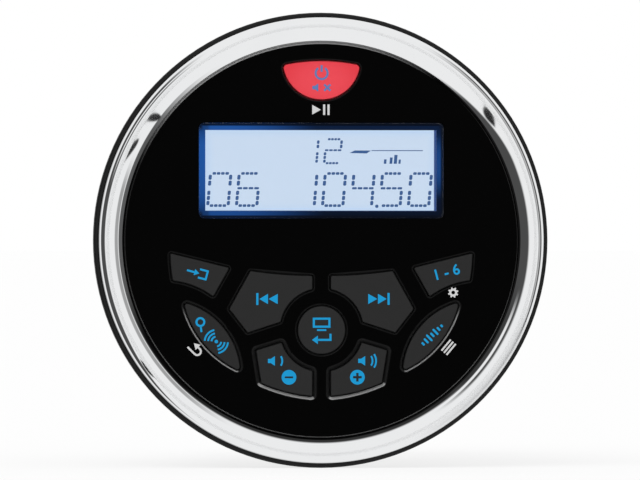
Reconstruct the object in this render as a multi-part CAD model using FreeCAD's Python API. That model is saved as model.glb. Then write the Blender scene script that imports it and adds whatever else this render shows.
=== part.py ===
"""Round flush-mount marine stereo: a gauge-sized receiver with ten keys, held to a dash by a bracket.

Millimetres. +Z is up, the face looks along -Y and the body runs back along +Y.
The origin is the centre of the plane where the rear face of the panel gasket meets the dash.
"""

import FreeCAD, Part
import math
import os

# Overall sizes
FACE_RADIUS = 54.0
HEAD_DEPTH = 21.0
CAN_RADIUS = 37.5
CAN_LENGTH = 46.0

# Chrome ring and the black rim round it
RIM_WALL = 1.0
RIM_RISE = 1.6
RING_WIDTH = 5.55
RING_CROWN = 1.8
RING_WALL = 1.4
RING_TOP_WALL = 1.7
RING_FIT = 0.15
RING_FOOT_FIT = 0.2
HOOK_COUNT = 6
HOOK_WIDTH = 6.0
HOOK_WALL = 1.0
HOOK_INSET = 0.6
HOOK_BARB = 0.7
HOOK_BARB_HEIGHT = 1.0
HOOK_PLAY = 0.2
HOOK_START_DEG = 30.0

# Fascia
FASCIA_RECESS = 2.2
FASCIA_THICKNESS = 2.8
DISC_STEP = 1.0
DISC_EDGE_GAP = 0.45
DISC_BEVEL = 0.35

# Face housing
HOUSING_WALL = 1.5
HOUSING_DRAFT = 1.0
HOUSING_EDGE = 0.8
LEDGE_THICKNESS = 2.5
LEDGE_STEP = 0.35
CAVITY_WALL = 1.6
FLOOR_THICKNESS = 3.0
GROOVE_RIBS = 12
GROOVE_RIB_WALL = 1.2
GROOVE_RIB_START_DEG = 15.0
SEAL_WIDTH = 1.6
SEAL_DEPTH = 1.2
SEAL_INSET = 1.6
SEAL_FIT = 0.1

# Panel gasket
GASKET_THICKNESS = 1.5
GASKET_HOLE_MARGIN = 1.3
GASKET_EDGE_MARGIN = 0.6

# Window and liquid crystal display
WINDOW_SIDE_BORDER = 1.65
WINDOW_END_BORDER = 1.85
WINDOW_CORNER = 1.4
WINDOW_Z = 16.53
WINDOW_THICKNESS = 1.4
WINDOW_RECESS = 0.2
WINDOW_FIT = 0.1
WINDOW_SEAL_THICKNESS = 0.4
LIT_WIDTH = 54.9
LIT_HEIGHT = 19.1
LIT_MARGIN = 0.05
GLASS_BORDER = 2.6
GLASS_THICKNESS = 1.8
GLASS_RECESS = 0.2
GLASS_FIT = 0.15
FRAME_WALL = 0.9
FRAME_CORNER = 0.8
GUIDE_SIDE_MARGIN = 2.4
GUIDE_END_MARGIN = 2.0
STRIP_WIDTH = 1.4
BACKLIGHT_WIDTH = 1.6
BACKLIGHT_HEIGHT = 3.0
BACKLIGHT_SPACING = 10.0

# Keys, with corners as x, z and how far the side to the next corner bows outwards.
# The keys, the display and the board's bosses spread with the face: the outermost corner of the
# keys stays KEYS_EDGE_GAP inside the fascia's edge.
KEYS_EDGE_GAP = 4.41
KEY_PROUD = 0.4
KEY_TRAVEL = 0.6
KEY_GAP = 0.35
KEY_LIP = 0.3
LENS_LIP = 0.35
VOLUME_LIP = 0.65
KEY_EDGE = 0.25
KEY_CORNER = 0.35
KEY_REST_GAP = 0.05
FLANGE_LAP = 0.55
FLANGE_THICKNESS = 0.9
ENTER_RADIUS = 5.64
ENTER_Z = -21.27
LAND_RADIUS = 9.94
POWER_CORNER = 0.9
BAND_CORNER = 0.6
POWER_CORNERS = [(-9.11, 41.45, 8.07), (9.11, 41.45, 0.99)]
SOURCE_CORNERS = [(-35.9, -3.1, 0.14), (-35.3, -9.5, -0.7), (-25.7, -13.3, 0), (-21.9, -6.55, 0)]
PREVIOUS_CORNERS = [
    (-16.9, -7.3, 0),
    (-21.9, -16.26, 0),
    (-17.55, -21.85, 0),
    (-2.18, -16.8, 0),
    (-2.18, -8.45, -0.26),
]
BAND_CORNERS = [(-32.7, -14.75, 2.5), (-19.3, -30.93, 3.45)]
VOLUME_CORNERS = [(-15.56, -26.1, 0), (-14.36, -33.71, 0.54), (-2.18, -36.87, 0), (-2.18, -22.05, 0)]

# Silicone keypad
FOOT_RADIUS = 1.6
FOOT_LENGTH = 0.5
DOME_HEIGHT = 2.2
DOME_RADIUS = 3.3
DOME_TOP_RADIUS = 1.9
DOME_SHOULDER = 0.8
DOME_WEB = 0.4
PILL_RADIUS = 1.4
PILL_THICKNESS = 0.4
PILL_SPARE = 0.05
SHEET_THICKNESS = 0.8
LED_OFFSET = 4.8
LED_HOLE_RADIUS = 1.2
LED_WIDTH = 1.6
LED_HEIGHT = 0.8
LED_THICKNESS = 0.6

# Front circuit board and what fastens the face
BOARD_THICKNESS = 1.6
BOARD_MARGIN = 1.4
POST_COUNT = 6
POST_RADIUS = 2.6
POST_MARGIN = 1.0
POST_CLEARANCE = 0.5
BOSS_RADIUS = 2.0
BOSS_CLEARANCE = 0.3
UPPER_BOSS = (16.0, 37.3)
LOWER_BOSS = (10.6, -41.9)
SCREW_RADIUS = 1.3
SCREW_FIT = 0.05
SCREW_LENGTH = 8.0
SCREW_HEAD_RADIUS = 2.4
SCREW_HEAD_HEIGHT = 1.6
SCREW_HEAD_FIT = 0.3
SCREW_SINK = 1.8
SMALL_SCREW_RADIUS = 0.9
SMALL_HEAD_RADIUS = 1.8
SMALL_HEAD_HEIGHT = 1.1

# Rear can
CAN_WALL = 2.2
CAN_FLANGE_WIDTH = 6.0
CAN_FLANGE_THICKNESS = 2.5
CAN_SCREW_COUNT = 4
CAN_SCREW_DEG = 45.0
REAR_BOSS_RADIUS = 3.0
REAR_BOSS_SINK = 0.9
REAR_BOSS_LENGTH = 16.0
REAR_SCREW_DEG = 30.0
REAR_SCREW_LENGTH = 12.0
RAIL_HEIGHT = 1.4
RAIL_DEPTH = 2.4
RAIL_END = 4.0

# Main circuit board and its parts
MAIN_BOARD_TOP = -10.0
MAIN_BOARD_FIT = 0.1
MAIN_BOARD_START = -7.4
MAIN_BOARD_END_GAP = 2.6
LINK_WIDTH = 28.0
LINK_HEIGHT = 5.5
LINK_LENGTH = 7.9
CAPACITOR_RADIUS = 6.3
CAPACITOR_HEIGHT = 21.0
CAPACITOR_X = 19.0
CAPACITOR_Y = 26.0
CHOKE_RADIUS = 8.0
CHOKE_HOLE = 3.4
CHOKE_HEIGHT = 8.0
CHOKE_Y = 25.0
PROCESSOR_SIDE = 14.0
PROCESSOR_THICKNESS = 1.4
PROCESSOR_X = -14.0
PROCESSOR_Y = 9.0
TUNER_WIDTH = 18.0
TUNER_LENGTH = 14.0
TUNER_HEIGHT = 5.0
TUNER_X = 12.0
TUNER_Y = 8.0
WIRELESS_WIDTH = 16.0
WIRELESS_LENGTH = 12.0
WIRELESS_THICKNESS = 0.8
SHIELD_MARGIN = 1.5
SHIELD_HEIGHT = 1.8
WIRELESS_Y = 22.0

# Amplifier chip, clamped against the rear cover
AMP_WIDTH = 29.2
AMP_HEIGHT = 15.7
AMP_THICKNESS = 4.6
AMP_LIFT = 2.5
AMP_LEADS = 13
AMP_LEAD_WIDTH = 0.7
AMP_LEAD_SPACING = 2.0
PAD_THICKNESS = 0.4
CLAMP_THICKNESS = 1.2
CLAMP_HEIGHT = 5.0
CLAMP_SCREW_X = 18.5
CLAMP_END = 2.8
CLAMP_POST_RADIUS = 2.7
CLAMP_SCREW_DEPTH = 2.5

# Rear cover, which closes the can, and the finned heat sinks above and below the bracket's bar
COVER_THICKNESS = 4.0
COVER_MARGIN = 0.5
COVER_EDGE = 0.6
REAR_SEAL_THICKNESS = 0.8
REAR_SEAL_INSET = 0.2
FIN_BASE = 1.5
FIN_WALL = 1.6
FIN_PITCH = 5.2
FIN_COUNT = 13
FIN_HEIGHT = 4.5
FIN_EDGE_MARGIN = 1.2
FIN_BAND = 10.0
FIN_CLEARANCE = 0.8

# Glands and antenna socket in the rear cover
HARNESS_X = -14.0
HARNESS_BORE = 5.0
SIGNAL_X = 14.0
SIGNAL_BORE = 4.0
GLAND_EDGE_GAP = 1.1
GLAND_WALL = 1.6
GLAND_LIP = 1.5
GLAND_LIP_THICKNESS = 1.4
GLAND_TAIL = 9.0
GLAND_TAIL_WALL = 1.0
SOCKET_EDGE_GAP = 5.8
SOCKET_RADIUS = 6.0
SOCKET_WALL = 1.2
SOCKET_CONTACT_BORE = 1.65
SOCKET_CONTACT_WALL = 0.6
SOCKET_CONTACT_LENGTH = 9.0
SOCKET_LENGTH = 12.0
SOCKET_FLOOR = 2.0
SOCKET_LIP = 1.5

# Studs, bracket, washers and wing nuts
STUD_RADIUS = 2.5
STUD_SPACING = 50.0
STUD_DEPTH = 5.0
STUD_BOSS_WALL = 2.0
STUD_BOSS_HEIGHT = 4.0
STUD_SPARE = 4.0
DASH_THICKEST = 16.0
DASH_THINNEST = 4.0
BRACKET_THICKNESS = 1.5
BRACKET_WIDTH = 14.0
BRACKET_LEG_GAP = 1.5
BRACKET_STOP_GAP = 0.5
BRACKET_BEND = 1.5
BRACKET_FOOT = 7.0
BRACKET_HOLE_FIT = 0.25
WASHER_RADIUS = 5.0
WASHER_THICKNESS = 1.0
NUT_RADIUS = 4.8
NUT_TOP_RADIUS = 3.9
NUT_HEIGHT = 6.0
NUT_FIT = 0.05
NUT_SEAT_GAP = 0.05
WING_REACH = 11.0
WING_THICKNESS = 2.2
WING_HEIGHT = 6.5
WING_START = 2.0
WING_CORNER = 1.6

# Depths of the face, front to back
crown_y = -HEAD_DEPTH
fascia_front = crown_y + FASCIA_RECESS
flange_step_y = fascia_front + DISC_STEP
fascia_back = fascia_front + FASCIA_THICKNESS
housing_back = -GASKET_THICKNESS
floor_front = housing_back - FLOOR_THICKNESS
ledge_back = fascia_back + LEDGE_THICKNESS
key_front = fascia_front - KEY_PROUD
flange_front = fascia_back + KEY_REST_GAP
flange_back = flange_front + FLANGE_THICKNESS
foot_end = flange_back + FOOT_LENGTH
dome_top = foot_end + KEY_REST_GAP
sheet_front = dome_top + DOME_HEIGHT
board_front = sheet_front + SHEET_THICKNESS
board_back = board_front + BOARD_THICKNESS
pill_end = board_front - KEY_TRAVEL - PILL_SPARE

# Radii of the face, from the rim inwards
ring_seat = FACE_RADIUS - RIM_WALL
ring_outer = ring_seat - RING_FIT
ring_inner = ring_outer - RING_WIDTH
disc_radius = ring_inner - DISC_EDGE_GAP
cavity_radius = ring_inner - LEDGE_STEP
fascia_radius = ring_outer - RING_WALL - RING_FOOT_FIT
hook_outer = ring_outer - HOOK_INSET
hook_inner = hook_outer - HOOK_WALL
groove_inner = cavity_radius + CAVITY_WALL
seal_inner = cavity_radius + SEAL_INSET
board_radius = cavity_radius - BOARD_MARGIN
post_circle = cavity_radius - POST_MARGIN - POST_RADIUS

# How far the layout of the face is spread, 1 at the sizes above
key_corners = POWER_CORNERS + SOURCE_CORNERS + PREVIOUS_CORNERS + BAND_CORNERS + VOLUME_CORNERS
spread = (disc_radius - KEYS_EDGE_GAP) / max(math.hypot(x, z) for x, z, bow in key_corners)

# Window, and the display stack behind the fascia
window_z = WINDOW_Z * spread
lit_width = LIT_WIDTH * spread
lit_height = LIT_HEIGHT * spread
window_width = lit_width + 2 * WINDOW_SIDE_BORDER
window_height = lit_height + 2 * WINDOW_END_BORDER
glass_width = lit_width + 2 * GLASS_BORDER
glass_height = lit_height + 2 * GLASS_BORDER
glass_front = fascia_back + GLASS_RECESS
glass_back = glass_front + GLASS_THICKNESS
frame_inner_width = glass_width + 2 * GLASS_FIT
frame_inner_height = glass_height + 2 * GLASS_FIT
guide_width = glass_width - 2 * GUIDE_SIDE_MARGIN
guide_height = glass_height - 2 * GUIDE_END_MARGIN

# Can, rear cover and rear fastening
can_front = housing_back
can_inner = CAN_RADIUS - CAN_WALL
can_mouth = CAN_RADIUS - CAN_FLANGE_WIDTH
can_screw_circle = (can_inner + can_mouth) / 2 - SCREW_FIT
rear_boss_circle = can_inner - REAR_BOSS_RADIUS + REAR_BOSS_SINK
gland_circle = can_inner - HARNESS_BORE - GLAND_WALL - GLAND_LIP - GLAND_EDGE_GAP
gland_z = -math.sqrt(gland_circle ** 2 - HARNESS_X ** 2)
socket_z = can_inner - SOCKET_RADIUS - SOCKET_LIP - SOCKET_EDGE_GAP
cover_radius = CAN_RADIUS - COVER_MARGIN
cover_back = CAN_LENGTH + COVER_THICKNESS
fin_base_back = cover_back + FIN_BASE
fin_back = fin_base_back + FIN_HEIGHT
amp_back = CAN_LENGTH - PAD_THICKNESS
amp_front = amp_back - AMP_THICKNESS
amp_bottom = MAIN_BOARD_TOP + AMP_LIFT
main_board_bottom = MAIN_BOARD_TOP - BOARD_THICKNESS
main_board_back = CAN_LENGTH - MAIN_BOARD_END_GAP
main_board_half = math.sqrt(can_mouth ** 2 - main_board_bottom ** 2) - MAIN_BOARD_FIT

# Bracket at rest, drawn back for the thickest dash
bracket_travel = DASH_THICKEST - DASH_THINNEST
bar_front = cover_back + BRACKET_STOP_GAP + bracket_travel
bar_back = bar_front + BRACKET_THICKNESS
leg_inner = CAN_RADIUS + BRACKET_LEG_GAP
leg_outer = leg_inner + BRACKET_THICKNESS
washer_back = bar_back + WASHER_THICKNESS
nut_front = washer_back + NUT_SEAT_GAP
nut_back = nut_front + NUT_HEIGHT
stud_x = STUD_SPACING / 2


def at(x, y, z):
    return FreeCAD.Vector(x, y, z)


FACE_AXIS = at(0, 1, 0)
CENTRE = at(0, 0, 0)


def closed_wire(corners, place):
    """A closed wire through corners (a, b, bow), walked so that the inside is on the left."""
    edges = []
    for corner, following in zip(corners, corners[1:] + corners[:1]):
        start = place(corner[0], corner[1])
        end = place(following[0], following[1])
        bow = corner[2] if len(corner) > 2 else 0
        if not bow:
            edges.append(Part.LineSegment(start, end).toShape())
            continue
        run = (following[0] - corner[0], following[1] - corner[1])
        reach = bow / math.hypot(*run)
        middle = place(
            (corner[0] + following[0]) / 2 + run[1] * reach,
            (corner[1] + following[1]) / 2 - run[0] * reach,
        )
        edges.append(Part.Arc(start, middle, end).toShape())
    return Part.Wire(edges)


def outline(corners):
    """A flat face in the plane y = 0, from corners given as x, z."""
    return Part.Face(closed_wire(corners, lambda a, b: at(a, 0, b)))


def rectangle(width, height, z=0.0):
    """A flat rectangle in the plane y = 0, centred on x = 0."""
    half_width = width / 2
    half_height = height / 2
    return outline(
        [
            (-half_width, z + half_height),
            (-half_width, z - half_height),
            (half_width, z - half_height),
            (half_width, z + half_height),
        ]
    )


def rounded(face, radius):
    """The same outline with its outward corners rounded."""
    return face.makeOffset2D(-radius).makeOffset2D(radius)


def grown(face, distance):
    """The outline moved outwards by a distance, or inwards by a negative one."""
    return face.makeOffset2D(distance)


def plate(face, front, back):
    """An outline given thickness between two depths."""
    placed = face.copy()
    placed.translate(at(0, front, 0))
    return placed.extrude(at(0, back - front, 0))


def turned(profile, x=0.0, z=0.0):
    """A solid turned about a front-to-back axis, from (radius, y, bow) with the inside on the right."""
    corners = [(radius, y, -bow[0] if bow else 0) for radius, y, *bow in profile]
    wire = closed_wire(corners, lambda a, b: at(a, b, 0))
    solid = Part.Face(wire).revolve(CENTRE, FACE_AXIS, 360)
    solid.translate(at(x, 0, z))
    return solid


def rod(radius, front, back, x=0.0, z=0.0):
    return Part.makeCylinder(radius, back - front, at(x, front, z), FACE_AXIS)


def tube(outer, inner, front, back, x=0.0, z=0.0):
    return rod(outer, front, back, x, z).cut(rod(inner, front, back, x, z))


def block(x_from, x_to, y_from, y_to, z_from, z_to):
    return Part.makeBox(x_to - x_from, y_to - y_from, z_to - z_from, at(x_from, y_from, z_from))


def spun(shape, degrees):
    """A copy turned about the face's axis."""
    copy = shape.copy()
    copy.rotate(CENTRE, FACE_AXIS, degrees)
    return copy


def all_round(shape, count, start=0.0):
    return [spun(shape, start + 360.0 * index / count) for index in range(count)]


def other_side(shape):
    return shape.mirror(CENTRE, at(1, 0, 0))


def both_sides(shape):
    return [shape, other_side(shape)]


def joined(first, *others):
    return first.fuse(list(others)).removeSplitter()


def front_edges(shape, depth):
    """Edges that lie flat at one depth."""
    return [
        edge
        for edge in shape.Edges
        if abs(edge.BoundBox.YMin - depth) < 1e-5 and abs(edge.BoundBox.YMax - depth) < 1e-5
    ]


def polar(circle, degrees):
    """The x and z of a point on a circle about the face's axis."""
    angle = math.radians(degrees)
    return circle * math.cos(angle), circle * math.sin(angle)


def post_places():
    return [polar(post_circle, 360.0 * index / POST_COUNT) for index in range(POST_COUNT)]


def board_boss_places():
    places = []
    for x, z in (UPPER_BOSS, LOWER_BOSS):
        places += [(x * spread, z * spread), (-x * spread, z * spread)]
    return places


def can_screw_places():
    step = 360.0 / CAN_SCREW_COUNT
    return [polar(can_screw_circle, CAN_SCREW_DEG + step * index) for index in range(CAN_SCREW_COUNT)]


def rear_screw_places():
    angles = (REAR_SCREW_DEG, 180 - REAR_SCREW_DEG, 180 + REAR_SCREW_DEG, 360 - REAR_SCREW_DEG)
    return [polar(rear_boss_circle, degrees) for degrees in angles]


def screw(radius, head_radius, head_height, seat, direction, length, x, z):
    """A plain screw whose head stands on the depth called seat and whose shank runs along direction."""
    axis = at(0, direction, 0)
    head = Part.makeCylinder(head_radius, head_height, at(x, seat - direction * head_height, z), axis)
    shank = Part.makeCylinder(radius, length, at(x, seat, z), axis)
    return joined(head, shank)


def spread_outline(corners):
    """An outline laid out on the disc, spread with it."""
    return outline([tuple(value * spread for value in corner) for corner in corners])


def enter_disc(radius):
    """A disc about the enter key's centre."""
    circle = Part.makeCircle(radius * spread, at(0, 0, ENTER_Z * spread), FACE_AXIS)
    return Part.Face(Part.Wire(circle))


def key_outlines():
    """Each key's outline by name; the four right-hand ones mirror the left."""
    land = enter_disc(LAND_RADIUS)
    source = rounded(spread_outline(SOURCE_CORNERS), KEY_CORNER)
    previous = rounded(spread_outline(PREVIOUS_CORNERS).cut(land).Faces[0], KEY_CORNER)
    band = rounded(spread_outline(BAND_CORNERS), BAND_CORNER)
    volume = rounded(spread_outline(VOLUME_CORNERS).cut(land).Faces[0], KEY_CORNER)
    return {
        "power_key": rounded(spread_outline(POWER_CORNERS), POWER_CORNER),
        "enter_key": enter_disc(ENTER_RADIUS),
        "source_key": source,
        "preset_key": other_side(source),
        "previous_key": previous,
        "next_key": other_side(previous),
        "band_key": band,
        "audio_key": other_side(band),
        "volume_down_key": volume,
        "volume_up_key": other_side(volume),
    }


def key_centres(outlines):
    return [(face.CenterOfMass.x, face.CenterOfMass.z) for face in outlines.values()]


def led_places(outlines):
    """A lamp beside each dome, on the side away from the middle."""
    return [(x + math.copysign(LED_OFFSET, x - 1e-6), z) for x, z in key_centres(outlines)]


def make_key(face):
    """A key cap with a rounded front edge, a flange that keeps it behind the fascia, and a foot."""
    cap = plate(face, key_front, flange_front)
    cap = cap.makeFillet(KEY_EDGE, front_edges(cap, key_front))
    flange = plate(grown(face, KEY_GAP + FLANGE_LAP), flange_front, flange_back)
    middle = face.CenterOfMass
    foot = rod(FOOT_RADIUS, flange_back, foot_end, middle.x, middle.z)
    return joined(cap, flange, foot)


def axis_distance(edge):
    """How far the middle of an edge is from the face's axis."""
    middle = edge.valueAt((edge.FirstParameter + edge.LastParameter) / 2)
    return math.hypot(middle.x, middle.z)


def opening_lips(body):
    """The front edges of the openings in the disc."""
    return [edge for edge in front_edges(body, fascia_front) if edge.BoundBox.DiagonalLength < disc_radius]


def outer_lip(body, face):
    """Of the lips round one key's opening, the one farthest from the face's axis."""
    around = grown(face, KEY_GAP + VOLUME_LIP + KEY_LIP)
    around.translate(at(0, fascia_front, 0))
    own = [edge for edge in opening_lips(body) if around.BoundBox.isInside(edge.BoundBox)]
    return max(own, key=axis_distance)


def with_lips(body, outlines):
    """The disc with rounded lips, and a sloping one along the outer side of each lens and volume key."""
    sloping = {
        "band_key": LENS_LIP,
        "audio_key": LENS_LIP,
        "volume_down_key": VOLUME_LIP,
        "volume_up_key": VOLUME_LIP,
    }
    for name, slope in sloping.items():
        body = body.makeChamfer(slope, [outer_lip(body, outlines[name])])
    slopes = [outer_lip(body, outlines[name]) for name in sloping]
    round_lips = [edge for edge in opening_lips(body) if not any(edge.isSame(other) for other in slopes)]
    return body.makeFillet(KEY_LIP, round_lips)


def make_fascia(outlines):
    """Gloss disc with a bevelled edge, a flange under the ring, and every opening."""
    body = turned(
        [
            (0, fascia_front),
            (0, fascia_back),
            (fascia_radius, fascia_back),
            (fascia_radius, flange_step_y),
            (disc_radius, flange_step_y),
            (disc_radius, fascia_front + DISC_BEVEL),
            (disc_radius - DISC_BEVEL, fascia_front),
        ]
    )
    openings = [plate(grown(face, KEY_GAP), fascia_front, fascia_back) for face in outlines.values()]
    body = with_lips(body.cut(openings), outlines)
    body = body.cut(window_openings())
    posts = [rod(POST_RADIUS, fascia_back, floor_front, x, z) for x, z in post_places()]
    bosses = [rod(BOSS_RADIUS, fascia_back, board_front, x, z) for x, z in board_boss_places()]
    body = joined(body, *posts, *bosses)
    pilots = [
        rod(SCREW_RADIUS + SCREW_FIT, floor_front - SCREW_LENGTH, floor_front, x, z)
        for x, z in post_places()
    ]
    pilots += [
        rod(SMALL_SCREW_RADIUS + SCREW_FIT, fascia_back, board_front, x, z)
        for x, z in board_boss_places()
    ]
    return body.cut(pilots)


def window_openings():
    """The window's pocket and the smaller opening behind it that leaves a ledge."""
    pocket_back = fascia_front + WINDOW_RECESS + WINDOW_THICKNESS + WINDOW_SEAL_THICKNESS
    pocket = rounded(rectangle(window_width, window_height, window_z), WINDOW_CORNER)
    lit = rectangle(lit_width + 2 * LIT_MARGIN, lit_height + 2 * LIT_MARGIN, window_z)
    return [plate(pocket, fascia_front, pocket_back), plate(lit, pocket_back, fascia_back)]


def make_window():
    front = fascia_front + WINDOW_RECESS
    pane = rectangle(window_width - 2 * WINDOW_FIT, window_height - 2 * WINDOW_FIT, window_z)
    pane = rounded(pane, WINDOW_CORNER - WINDOW_FIT)
    return plate(pane, front, front + WINDOW_THICKNESS)


def make_window_seal():
    front = fascia_front + WINDOW_RECESS + WINDOW_THICKNESS
    back = front + WINDOW_SEAL_THICKNESS
    outer = rectangle(window_width - 2 * WINDOW_FIT, window_height - 2 * WINDOW_FIT, window_z)
    outer = rounded(outer, WINDOW_CORNER - WINDOW_FIT)
    lit = rectangle(lit_width + 2 * LIT_MARGIN, lit_height + 2 * LIT_MARGIN, window_z)
    return plate(outer, front, back).cut(plate(lit, front, back))


def make_lcd_glass():
    return plate(rectangle(glass_width, glass_height, window_z), glass_front, glass_back)


def make_light_guide():
    return plate(rectangle(guide_width, guide_height, window_z), glass_back, board_front)


def make_lcd_frame():
    """An open frame that holds the glass and stands on the front board."""
    inner = rectangle(frame_inner_width, frame_inner_height, window_z)
    outer = rounded(grown(inner, FRAME_WALL), FRAME_CORNER)
    return plate(outer, glass_front, board_front).cut(plate(inner, glass_front, board_front))


def make_lcd_strips():
    """Conductive rubber strips that join the glass to the board, above and below the light guide."""
    centre_offset = (guide_height / 2 + glass_height / 2) / 2
    strips = []
    for z in (window_z - centre_offset, window_z + centre_offset):
        strips.append(plate(rectangle(guide_width, STRIP_WIDTH, z), glass_back, board_front))
    return Part.makeCompound(strips)


def make_backlight_leds():
    inner = guide_width / 2
    lamps = []
    for z in (window_z - BACKLIGHT_SPACING / 2, window_z + BACKLIGHT_SPACING / 2):
        low = z - BACKLIGHT_HEIGHT / 2
        lamp = block(inner, inner + BACKLIGHT_WIDTH, glass_back, board_front, low, low + BACKLIGHT_HEIGHT)
        lamps += both_sides(lamp)
    return Part.makeCompound(lamps)


def make_dome(x, z):
    """One hollow silicone dome with the plunger that its key pushes."""
    shoulder = dome_top + DOME_SHOULDER
    return turned(
        [
            (0, dome_top),
            (0, pill_end - PILL_THICKNESS),
            (DOME_TOP_RADIUS - DOME_WEB, pill_end - PILL_THICKNESS),
            (DOME_TOP_RADIUS - DOME_WEB, shoulder + DOME_WEB),
            (DOME_RADIUS - DOME_WEB, sheet_front),
            (DOME_RADIUS, sheet_front),
            (DOME_TOP_RADIUS, shoulder),
            (DOME_TOP_RADIUS, dome_top),
        ],
        x,
        z,
    )


def make_keypad(outlines):
    """The silicone sheet on the front board, with a dome under each key."""
    sheet = rod(board_radius, sheet_front, board_front)
    frame = grown(rectangle(frame_inner_width, frame_inner_height, window_z), FRAME_WALL)
    cuts = [plate(grown(frame, GLASS_FIT), sheet_front, board_front)]
    notch = POST_RADIUS + POST_CLEARANCE
    cuts += [rod(notch, sheet_front, board_front, x, z) for x, z in post_places()]
    hole = BOSS_RADIUS + BOSS_CLEARANCE
    cuts += [rod(hole, sheet_front, board_front, x, z) for x, z in board_boss_places()]
    well = DOME_RADIUS - DOME_WEB
    cuts += [rod(well, sheet_front, board_front, x, z) for x, z in key_centres(outlines)]
    cuts += [rod(LED_HOLE_RADIUS, sheet_front, board_front, x, z) for x, z in led_places(outlines)]
    sheet = sheet.cut(cuts)
    return joined(sheet, *[make_dome(x, z) for x, z in key_centres(outlines)])


def make_contact_pills(outlines):
    front = pill_end - PILL_THICKNESS
    return Part.makeCompound([rod(PILL_RADIUS, front, pill_end, x, z) for x, z in key_centres(outlines)])


def make_key_leds(outlines):
    lamps = []
    for x, z in led_places(outlines):
        lamp = rectangle(LED_WIDTH, LED_HEIGHT)
        lamp.translate(at(x, 0, z))
        lamps.append(plate(lamp, board_front - LED_THICKNESS, board_front))
    return Part.makeCompound(lamps)


def make_front_board():
    """Round circuit board with notches for the fascia's posts."""
    board = rod(board_radius, board_front, board_back)
    notch = POST_RADIUS + POST_CLEARANCE
    cuts = [rod(notch, board_front, board_back, x, z) for x, z in post_places()]
    hole = SMALL_SCREW_RADIUS + SCREW_FIT
    cuts += [rod(hole, board_front, board_back, x, z) for x, z in board_boss_places()]
    return board.cut(cuts)


def make_board_screws():
    length = board_back - fascia_back - BOSS_CLEARANCE
    return Part.makeCompound(
        [
            screw(SMALL_SCREW_RADIUS, SMALL_HEAD_RADIUS, SMALL_HEAD_HEIGHT, board_back, -1, length, x, z)
            for x, z in board_boss_places()
        ]
    )


def make_ring():
    """Chrome ring of half-round section, hollow behind, with snap hooks."""
    shoulder = crown_y + RING_CROWN
    ceiling = crown_y + RING_TOP_WALL
    ring = turned(
        [
            (ring_inner, shoulder),
            (ring_inner, flange_step_y),
            (ring_inner + RING_WALL, flange_step_y),
            (ring_inner + RING_WALL, ceiling),
            (ring_outer - RING_WALL, ceiling),
            (ring_outer - RING_WALL, fascia_back),
            (ring_outer, fascia_back),
            (ring_outer, shoulder, RING_CROWN),
        ]
    )
    return joined(ring, *all_round(make_hook(), HOOK_COUNT, HOOK_START_DEG))


def make_hook():
    """One snap hook, drawn at the right-hand side of the ring."""
    barb_front = ledge_back + HOOK_PLAY
    barb_back = barb_front + HOOK_BARB_HEIGHT
    profile = Part.Face(
        closed_wire(
            [
                (hook_inner, fascia_back),
                (hook_inner, barb_front),
                (hook_inner - HOOK_BARB, barb_front),
                (hook_inner, barb_back),
                (hook_outer, barb_back),
                (hook_outer, fascia_back),
            ],
            lambda a, b: at(a, b, -HOOK_WIDTH / 2),
        )
    )
    return profile.extrude(at(0, 0, HOOK_WIDTH))


def hook_slot():
    """The hole in the ledge that a hook snaps through."""
    half = HOOK_WIDTH / 2 + HOOK_PLAY
    return block(hook_inner - HOOK_PLAY, hook_outer + HOOK_PLAY, fascia_back, ledge_back, -half, half)


def make_face_housing():
    """The black dish behind the face: rim, ledge, double side wall with ribs, and floor."""
    rear_radius = FACE_RADIUS - HOUSING_DRAFT
    groove_outer = FACE_RADIUS - HOUSING_WALL
    body = turned(
        [
            (ring_seat, fascia_back - RIM_RISE),
            (ring_seat, fascia_back),
            (cavity_radius, fascia_back),
            (cavity_radius, floor_front),
            (can_mouth, floor_front),
            (can_mouth, housing_back),
            (groove_inner, housing_back),
            (groove_inner, ledge_back),
            (groove_outer, ledge_back),
            (groove_outer - HOUSING_DRAFT, housing_back),
            (rear_radius - HOUSING_EDGE / 2, housing_back),
            (rear_radius, housing_back - HOUSING_EDGE),
            (FACE_RADIUS, ledge_back),
            (FACE_RADIUS, fascia_back - RIM_RISE + RIM_WALL / 2, RIM_WALL / 8),
            (FACE_RADIUS - RIM_WALL / 2, fascia_back - RIM_RISE),
        ]
    )
    half_rib = GROOVE_RIB_WALL / 2
    rib = block(
        groove_inner - CAVITY_WALL / 2,
        groove_outer - HOUSING_DRAFT + HOUSING_WALL / 2,
        ledge_back - LEDGE_THICKNESS / 2,
        housing_back,
        -half_rib,
        half_rib,
    )
    body = joined(body, *all_round(rib, GROOVE_RIBS, GROOVE_RIB_START_DEG))
    slots = all_round(hook_slot(), HOOK_COUNT, HOOK_START_DEG)
    seal_groove = tube(
        seal_inner + SEAL_WIDTH + SEAL_FIT,
        seal_inner - SEAL_FIT,
        fascia_back,
        fascia_back + SEAL_DEPTH,
    )
    sink_front = housing_back - SCREW_SINK
    holes = []
    for x, z in post_places():
        holes.append(rod(SCREW_HEAD_RADIUS + SCREW_HEAD_FIT, sink_front, housing_back, x, z))
        holes.append(rod(SCREW_RADIUS + SCREW_HEAD_FIT, floor_front, sink_front, x, z))
    for x, z in can_screw_places():
        holes.append(rod(SCREW_RADIUS + SCREW_HEAD_FIT, floor_front, housing_back, x, z))
    return body.cut(slots + [seal_groove] + holes)


def make_face_seal():
    return tube(seal_inner + SEAL_WIDTH, seal_inner, fascia_back, fascia_back + SEAL_DEPTH)


def make_fascia_screws():
    seat = housing_back - SCREW_SINK
    length = seat - floor_front + SCREW_LENGTH - SCREW_HEAD_FIT
    return Part.makeCompound(
        [
            screw(SCREW_RADIUS, SCREW_HEAD_RADIUS, SCREW_HEAD_HEIGHT, seat, -1, length, x, z)
            for x, z in post_places()
        ]
    )


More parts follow.
